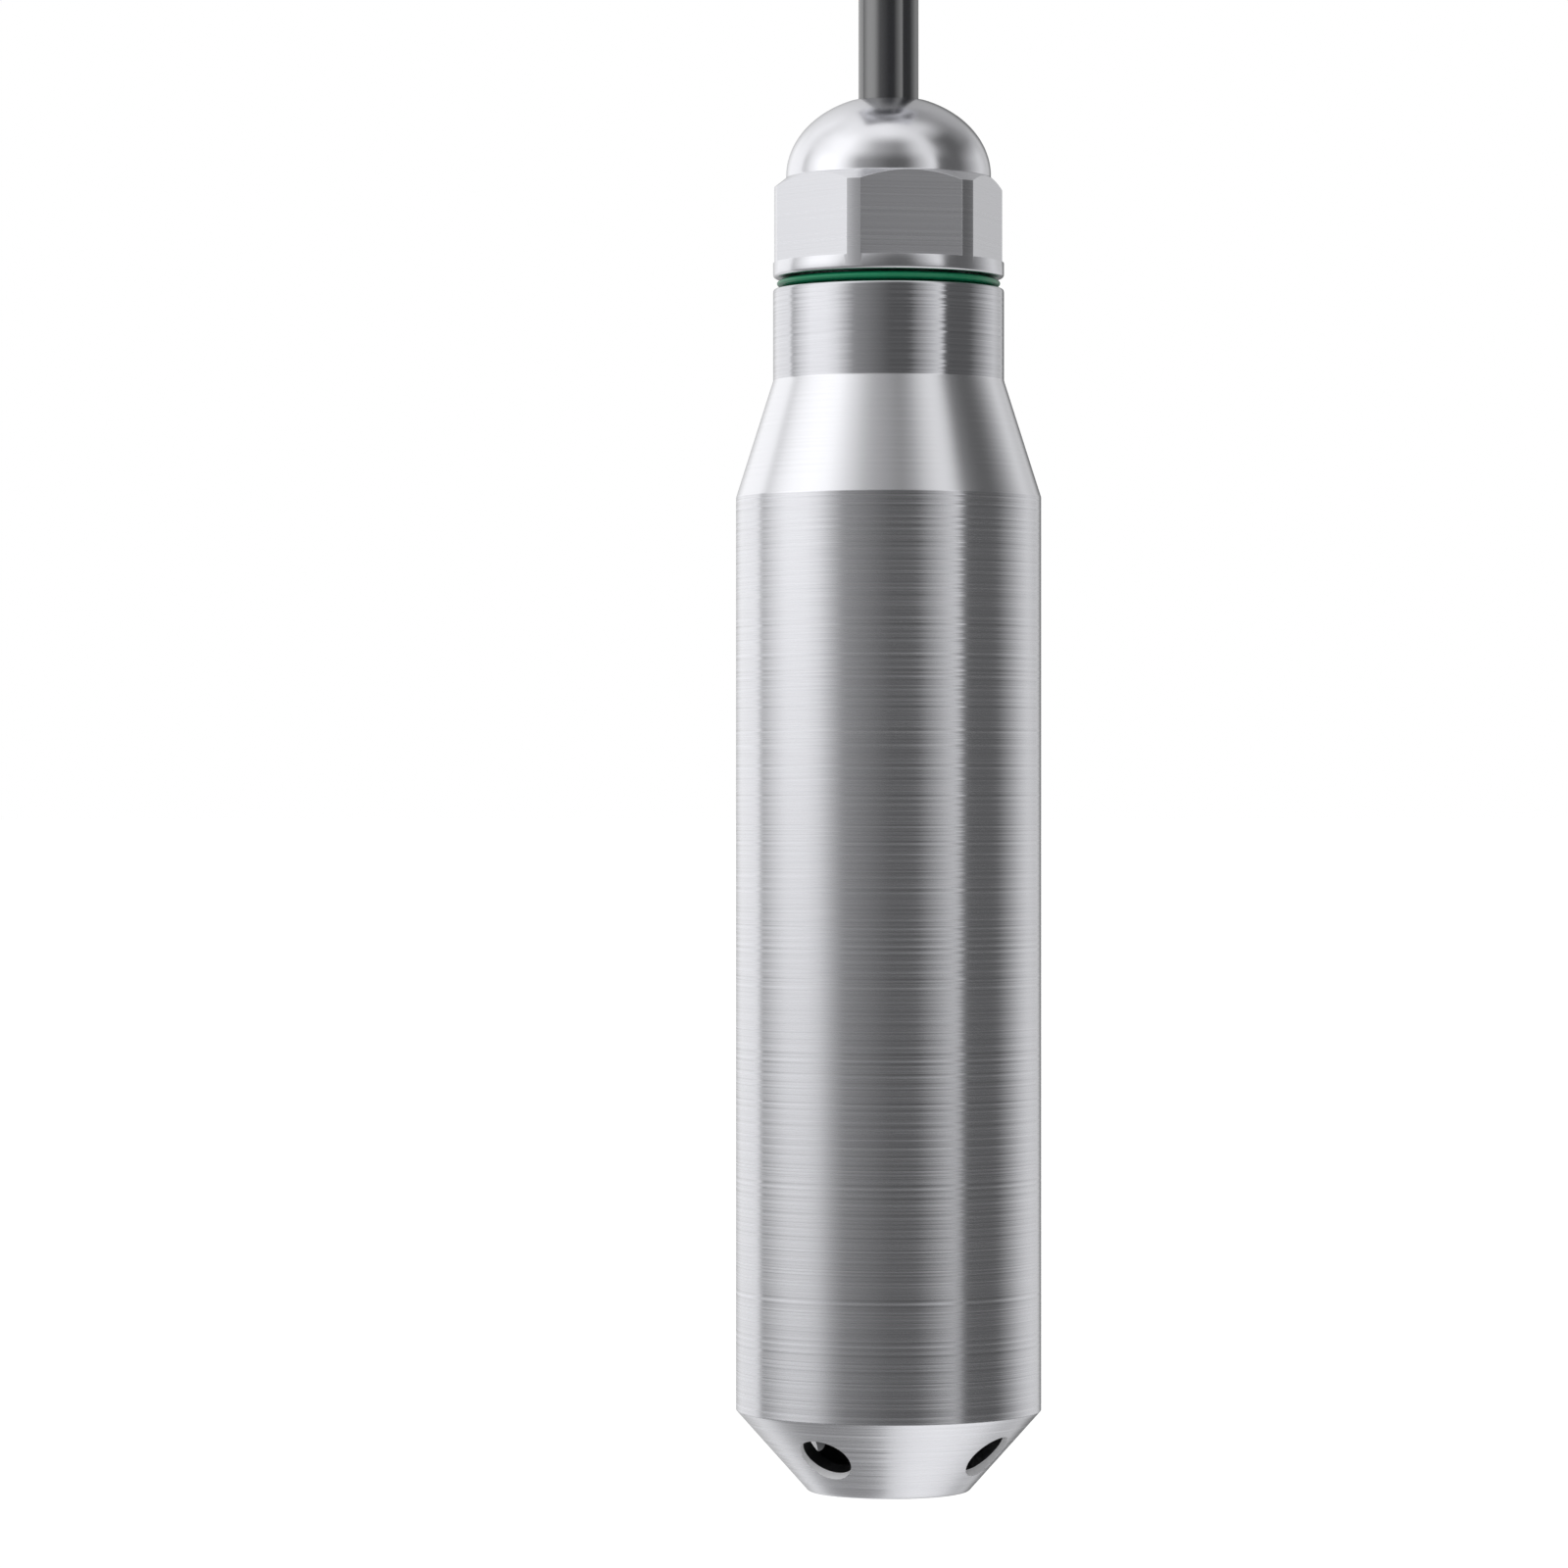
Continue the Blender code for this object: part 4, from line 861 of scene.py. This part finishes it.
def make_hanger_gland():
    """The gland's nut, its body with the thread, and the lock nut on the strip."""
    hole = CABLE_RADIUS + CLEARANCE
    end = -acos((hole + MOUTH_EASE) / HANGER_DOME_RADIUS)
    dome_z = HANGER_Z + HANGER_DOME_HEIGHT
    turns = [end * i / HANGER_DOME_STEPS for i in range(HANGER_DOME_STEPS + 1)]
    dome = [
        (HANGER_DOME_RADIUS * cos(a), dome_z + HANGER_DOME_HEIGHT * sin(a), 0.0) for a in turns
    ]
    chamfer = (HANGER_NUT_RADIUS - HANGER_DOME_RADIUS) * tan(HEX_CHAMFER_ANGLE)
    nut_top = HANGER_Z + HANGER_NUT_HEIGHT
    cone_bottom = HANGER_Z + HANGER_CONE_BOTTOM
    cone_top = cone_bottom + HANGER_CONE_HEIGHT
    nut_bore = HANGER_THREAD_RADIUS + CLEARANCE
    outline = [
        (HANGER_NUT_RADIUS, nut_top, EASED),
        (HANGER_NUT_RADIUS, dome_z + chamfer, 0.0),
        *dome,
        (hole, dome[-1][1] + MOUTH_EASE, EASED),
        (hole, cone_bottom, 0.0),
        (HANGER_SOCKET_RADIUS, cone_top, 0.0),
        (nut_bore, cone_top, 0.0),
        (nut_bore, nut_top, EASED),
    ]
    flats = (HANGER_ACROSS_FLATS, dome_z - HANGER_DOME_HEIGHT / 2, nut_top + OVERSHOOT, 0.0)
    mesh = hexagonal("gripping_nut", outline, *flats)
    add_piece("gripping_nut", mesh, HANGER_STEEL, SENSOR, "bright_steel", "hanger_gland_nut")

    hex_bottom = nut_top + CLEARANCE
    hex_top = hex_bottom + HANGER_HEX_HEIGHT
    body_low, body_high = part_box("hanger_gland_body")
    socket_top = body_low.z + HANGER_SOCKET_DEPTH
    root = HANGER_THREAD_RADIUS - THREAD_DEPTH
    outline = [
        (root, body_high.z, 0.0),
        *thread(HANGER_THREAD_RADIUS, body_high.z, hex_top),
        (root, hex_top, 0.0),
        (HANGER_NUT_RADIUS, hex_top, EASED),
        (HANGER_NUT_RADIUS, hex_bottom, EASED),
        (root, hex_bottom, 0.0),
        *thread(HANGER_THREAD_RADIUS, hex_bottom, body_low.z),
        (HANGER_SOCKET_RADIUS, body_low.z, 0.0),
        (HANGER_SOCKET_RADIUS, socket_top, 0.0),
        (hole, socket_top, 0.0),
        (hole, body_high.z, EASED),
    ]
    flats = (HANGER_ACROSS_FLATS, hex_bottom - CLEARANCE / 2, hex_top + CLEARANCE / 2, 0.0)
    mesh = hexagonal("threaded_gland_body", outline, *flats)
    add_piece(
        "threaded_gland_body", mesh, HANGER_STEEL, SENSOR, "bright_steel", "hanger_gland_body"
    )

    lock_low, lock_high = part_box("hanger_lock_nut")
    bore = HANGER_THREAD_RADIUS + CLEARANCE
    shoulder = LOCK_NUT_RADIUS - 2 * LOCK_NUT_BEVEL
    outline = [
        (bore, lock_high.z, SOFT),
        (shoulder, lock_high.z, 0.0),
        (LOCK_NUT_RADIUS, lock_high.z - LOCK_NUT_BEVEL, 0.0),
        (LOCK_NUT_RADIUS, lock_low.z + LOCK_NUT_BEVEL, 0.0),
        (shoulder, lock_low.z, 0.0),
        (bore, lock_low.z, SOFT),
    ]
    flats = (LOCK_NUT_ACROSS_FLATS, lock_low.z - OVERSHOOT, lock_high.z + OVERSHOOT, 0.0)
    mesh = hexagonal("chamfered_lock_nut", outline, *flats)
    add_piece("chamfered_lock_nut", mesh, HANGER_STEEL, SENSOR, "bright_steel", "hanger_lock_nut")


def strip_arc(y, z, radius, start, end):
    """Points of a bend of the strip, seen from the side."""
    turns = [start + (end - start) * i / BEND_STEPS for i in range(BEND_STEPS + 1)]
    return [(y + radius * cos(a), z + radius * sin(a)) for a in turns]


def make_strip():
    """The strip bent into a C, with the gland's hole and two fixing holes."""
    bend_y = STRIP_HIGH.y - STRIP_BEND
    low = STRIP_LOW.z + STRIP_BEND
    high = STRIP_HIGH.z - STRIP_BEND
    inner = STRIP_BEND - STRIP_THICKNESS
    side = [
        (STRIP_LOW.y, STRIP_LOW.z),
        *strip_arc(bend_y, low, STRIP_BEND, -pi / 2, 0.0),
        *strip_arc(bend_y, high, STRIP_BEND, 0.0, pi / 2),
        (STRIP_LOW.y, STRIP_HIGH.z),
        (STRIP_LOW.y, STRIP_HIGH.z - STRIP_THICKNESS),
        *strip_arc(bend_y, high, inner, pi / 2, 0.0),
        *strip_arc(bend_y, low, inner, 0.0, -pi / 2),
        (STRIP_LOW.y, STRIP_LOW.z + STRIP_THICKNESS),
    ]
    count = len(side)
    verts = [(x, y, z) for x in (STRIP_LOW.x, STRIP_HIGH.x) for y, z in side]
    faces = [list(range(count)), list(range(count, 2 * count))]
    for i in range(count):
        j = (i + 1) % count
        faces.append([i, j, j + count, i + count])
    blank = new_mesh("bent_strip", verts, faces)
    drills = [upright_drill("gland_hole", HANGER_THREAD_RADIUS + CLEARANCE, 0.0, STRIP_LOW.z)]
    for number, edge in enumerate((-1.0, 1.0)):
        x = edge * FIXING_HOLE_SPACING / 2
        name = f"fixing_hole_{number + 1}"
        drills.append(upright_drill(name, FIXING_HOLE_RADIUS, x, STRIP_HIGH.z))
    mesh = carved(blank, drills)
    ease_edges(mesh, STRIP_EDGE, 50.0)
    smooth(mesh)
    add_piece("bent_strip", mesh, STRIP_STEEL, SENSOR, "bent_steel", "hanger_bracket")


def upright_drill(name, radius, x, height):
    """A cutter for an upright round hole through a leg of the strip."""
    reach = 2 * STRIP_THICKNESS
    outline = [
        (0.0, height + reach, 0.0),
        (radius, height + reach, 0.0),
        (radius, height - reach, 0.0),
        (0.0, height - reach, 0.0),
    ]
    mesh = turned_mesh(name, outline, DRILL_SEGMENTS)
    mesh.transform(Matrix.Translation((x, 0.0, 0.0)))
    return mesh


def ferrule_mesh(name):
    """A crimped sleeve that stands on the origin, with two pressed grooves."""
    pressed = FERRULE_RADIUS - CRIMP_DEPTH
    raised = FERRULE_RADIUS - CRIMP_DEPTH / 2
    inside = FERRULE_RADIUS - 2 * CRIMP_DEPTH
    end = FERRULE_LENGTH - EASED
    outline = [(pressed, FERRULE_LENGTH, SLIGHT)]
    for height, radius in zip(CRIMP_HEIGHTS, (raised, pressed, raised, pressed, raised)):
        outline.append((radius, FERRULE_LENGTH * height, SLIGHT))
    outline += [
        (FERRULE_RADIUS, FERRULE_FLARE, SLIGHT),
        (FERRULE_RADIUS, 0.0, SLIGHT),
        (0.0, 0.0, 0.0),
        (0.0, end, 0.0),
        (inside, end, 0.0),
        (inside, FERRULE_LENGTH, 0.0),
    ]
    return turned_mesh(name, outline, LEAD_SEGMENTS)


def make_leads():
    """The cable's prepared end: two cores with crimped ferrules, and the open vent tube."""
    top = CABLE_HIGH.z
    for side, name, material in ((-1.0, "red", RED_PLASTIC), (1.0, "black", BLACK_PLASTIC)):
        low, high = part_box(f"{name}_lead")
        foot = Vector((side * CORE_SPREAD, -CORE_FRONT, top))
        middle = Vector((side * (CORE_SPREAD + LEAD_SPREAD) / 2, -CORE_FRONT, (low.z + high.z) / 2))
        tip = Vector((side * LEAD_SPREAD, -CORE_FRONT, high.z))
        curve = bpy.data.curves.new(f"{name}_core", "CURVE")
        curve.dimensions = "3D"
        curve.bevel_depth = CORE_RADIUS
        curve.bevel_resolution = 8
        curve.use_fill_caps = True
        spline = curve.splines.new("NURBS")
        spline.points.add(2)
        for spot, point in zip(spline.points, (foot, middle, tip)):
            spot.co = (*point, 1.0)
        spline.use_endpoint_u = True
        spline.order_u = 3
        add_piece(f"{name}_core", curve, material, SENSOR, f"{name}_insulation", f"{name}_lead")

        mesh = ferrule_mesh(f"{name}_ferrule")
        along = (tip - middle).normalized()
        aim = along.to_track_quat("Z", "Y").to_matrix().to_4x4()
        mesh.transform(Matrix.Translation(tip - along * FACE_GAP) @ aim)
        smooth(mesh)
        add_piece(
            f"{name}_ferrule", mesh, BRIGHT_STEEL, SENSOR, "bright_steel", f"{name}_lead_ferrule"
        )

    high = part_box("open_vent_tube")[1]
    outline = [
        (VENT_RADIUS, high.z, VENT_EASE),
        (VENT_RADIUS, top, 0.0),
        (VENT_BORE_RADIUS, top, 0.0),
        (VENT_BORE_RADIUS, high.z, VENT_EASE),
    ]
    mesh = turned_mesh("bored_vent_tube", outline, LEAD_SEGMENTS)
    mesh.transform(Matrix.Translation((0.0, VENT_BACK, 0.0)))
    smooth(mesh)
    add_piece("bored_vent_tube", mesh, VENT_PLASTIC, SENSOR, "vent_plastic", "open_vent_tube")


def make_diaphragm():
    """The corrugated foil behind the nose."""
    low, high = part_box("diaphragm")
    face = []
    for step in range(FOIL_STEPS + 1):
        radius = high.x * step / FOIL_STEPS
        share = max((radius - FOIL_FLAT_RADIUS) / (high.x - FOIL_FLAT_RADIUS), 0.0)
        wave = FOIL_WAVE_HEIGHT * sin(2 * pi * FOIL_WAVES * share)
        face.append((radius, low.z + FOIL_WAVE_HEIGHT + wave, 0.0))
    outline = [(0.0, high.z, 0.0), (high.x, high.z, 0.0), *reversed(face)]
    mesh = turned_mesh("corrugated_diaphragm", outline, INNER_SEGMENTS)
    smooth(mesh, 60.0)
    add_piece("corrugated_diaphragm", mesh, BRIGHT_STEEL, SENSOR, "bright_steel", "diaphragm")


def make_retainer():
    """The ring that holds the cell, with its thread and two slots for a pin spanner."""
    low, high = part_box("cell_retaining_ring")
    root = high.x - THREAD_DEPTH / 2
    outline = [
        (high.x, high.z, TRIMMED),
        (high.x, (low.z + high.z) / 2, 0.0),
        (root, (low.z + high.z) / 2, 0.0),
        (root, low.z, EASED),
        (RETAINER_BORE_RADIUS, low.z, EASED),
        (RETAINER_BORE_RADIUS, high.z, TRIMMED),
    ]
    slot_mesh = box_mesh(
        "spanner_slot", (3 * high.x, RETAINER_SLOT_WIDTH, 2 * RETAINER_SLOT_DEPTH), low.z
    )
    mesh = carved(turned_mesh("slotted_ring", outline, INNER_SEGMENTS), [slot_mesh])
    ease_edges(mesh, HEX_EDGE, 40.0)
    smooth(mesh)
    add_piece("slotted_ring", mesh, BRIGHT_STEEL, SENSOR, "bright_steel", "cell_retaining_ring")


def box_mesh(name, size, height):
    """A box on the axis about a height."""
    mesh = bpy.data.meshes.new(name)
    shape = bmesh.new()
    bmesh.ops.create_cube(shape, size=1.0)
    bmesh.ops.scale(shape, vec=size, verts=shape.verts)
    bmesh.ops.translate(shape, vec=(0.0, 0.0, height), verts=shape.verts)
    shape.to_mesh(mesh)
    shape.free()
    return mesh


def paint_nodes():
    """Better materials on the CAD nodes that stay in view."""
    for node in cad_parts.values():
        if not node.hide_render:
            node.data.materials[0] = NODE_FINISHES[node.data.materials[0].name]


def banded(nodes, links, bands):
    """A brightness that changes with the direction round the object."""
    place = nodes.new("ShaderNodeTexCoord")
    around = nodes.new("ShaderNodeTexGradient")
    around.gradient_type = "RADIAL"
    links.new(place.outputs["Object"], around.inputs["Vector"])
    ramp = nodes.new("ShaderNodeValToRGB")
    stops = ramp.color_ramp.elements
    stops[0].position = 0.0
    stops[1].position = 1.0
    for angle, _ in bands[1:-1]:
        stops.new(angle / 360.0 + 0.5)
    for stop, (angle, level) in zip(stops, bands):
        stop.color = (level, level, level, 1.0)
    links.new(around.outputs["Fac"], ramp.inputs["Fac"])
    return ramp.outputs["Color"]


def make_reflections():
    """A ball round the studio that only shiny surfaces see: screens, lamps and dark gaps."""
    mesh = bpy.data.meshes.new("studio_ball")
    shape = bmesh.new()
    bmesh.ops.create_uvsphere(shape, u_segments=96, v_segments=48, radius=STUDIO_RADIUS)
    shape.to_mesh(mesh)
    shape.free()
    ball = bpy.data.objects.new("studio_ball", mesh)
    ball.location.z = NOSE_Z + CAMERA_ABOVE_NOSE
    ball.rotation_euler.z = -pi / 2
    bpy.context.scene.collection.objects.link(ball)
    ball.visible_camera = False
    ball.visible_diffuse = False
    ball.visible_transmission = False
    ball.visible_shadow = False
    ball.visible_volume_scatter = False

    material = bpy.data.materials.new("studio_ball")
    material.use_nodes = True
    nodes = material.node_tree.nodes
    links = material.node_tree.links
    nodes.clear()
    place = nodes.new("ShaderNodeTexCoord")
    split = nodes.new("ShaderNodeSeparateXYZ")
    links.new(place.outputs["Object"], split.inputs["Vector"])
    level = banded(nodes, links, WALL_BANDS)
    for bands, fade in (
        (LOW_WALL_BANDS, LOW_WALL_FADE),
        (CEILING_BANDS, CEILING_FADE),
        (FLOOR_BANDS, FLOOR_FADE),
        (OVERHEAD_BANDS, OVERHEAD_FADE),
    ):
        mix = nodes.new("ShaderNodeMix")
        mix.data_type = "RGBA"
        links.new(ranged(nodes, links, split.outputs["Z"], 0.0, 1.0, *fade), mix.inputs["Factor"])
        links.new(level, mix.inputs["A"])
        links.new(banded(nodes, links, bands), mix.inputs["B"])
        level = mix.outputs["Result"]
    glow = nodes.new("ShaderNodeEmission")
    links.new(level, glow.inputs["Color"])
    output = nodes.new("ShaderNodeOutputMaterial")
    links.new(glow.outputs["Emission"], output.inputs["Surface"])
    mesh.materials.append(material)


def make_stage():
    """The pale floor, the world and the lamp."""
    corners = [(x, y, 0.0) for x, y in ((-1.0, -1.0), (1.0, -1.0), (1.0, 1.0), (-1.0, 1.0))]
    mesh = new_mesh("studio_floor", corners, [(0, 1, 2, 3)])
    mesh.transform(Matrix.Scale(FLOOR_REACH, 4))
    floor = bpy.data.objects.new("studio_floor", mesh)
    floor.location.z = NOSE_Z - FLOOR_DEPTH
    floor.visible_glossy = False
    bpy.context.scene.collection.objects.link(floor)
    material, nodes, links, shader = new_material("studio_floor", (0.92, 0.92, 0.92), 0.9)
    shader.inputs["Specular IOR Level"].default_value = 0.0
    shader.inputs["Emission Color"].default_value = (1.0, 1.0, 1.0, 1.0)
    path = nodes.new("ShaderNodeLightPath")
    lift = ranged(nodes, links, path.outputs["Is Camera Ray"], 0.0, FLOOR_LIFT, 0.0, 1.0)
    links.new(lift, shader.inputs["Emission Strength"])
    clear = nodes.new("ShaderNodeBsdfTransparent")
    side = nodes.new("ShaderNodeNewGeometry")
    mix = nodes.new("ShaderNodeMixShader")
    links.new(side.outputs["Backfacing"], mix.inputs["Fac"])
    links.new(shader.outputs["BSDF"], mix.inputs[1])
    links.new(clear.outputs["BSDF"], mix.inputs[2])
    links.new(mix.outputs["Shader"], nodes["Material Output"].inputs["Surface"])
    mesh.materials.append(material)

    world = bpy.data.worlds.new("studio")
    bpy.context.scene.world = world
    world.use_nodes = True
    nodes = world.node_tree.nodes
    links = world.node_tree.links
    sky = nodes["Background"]
    path = nodes.new("ShaderNodeLightPath")
    seen = nodes.new("ShaderNodeMath")
    seen.operation = "MAXIMUM"
    links.new(path.outputs["Is Camera Ray"], seen.inputs[0])
    links.new(path.outputs["Is Glossy Ray"], seen.inputs[1])
    also = nodes.new("ShaderNodeMath")
    also.operation = "MAXIMUM"
    links.new(seen.outputs["Value"], also.inputs[0])
    links.new(path.outputs["Is Transmission Ray"], also.inputs[1])
    strength = ranged(nodes, links, also.outputs["Value"], WORLD_LEVEL, 1.0, 0.0, 1.0)
    links.new(strength, sky.inputs["Strength"])
    sky.inputs["Color"].default_value = (1.0, 1.0, 1.0, 1.0)

    lamp = bpy.data.objects.new("soft_lamp", bpy.data.lights.new("soft_lamp", "SUN"))
    lamp.data.angle = SUN_SOFTNESS
    lamp.data.energy = SUN_POWER
    lamp.rotation_euler = Vector(SUN_AIM).to_track_quat("-Z", "Y").to_euler()
    lamp.visible_glossy = False
    bpy.context.scene.collection.objects.link(lamp)


make_camera()
make_hanger_gland()
make_strip()
make_leads()
make_cable()
make_body()
make_nose_cap()
make_gland_nut()
make_seal_ring()
make_diaphragm()
make_retainer()
paint_nodes()
make_reflections()
make_stage()
bpy.context.scene.view_settings.view_transform = "Standard"
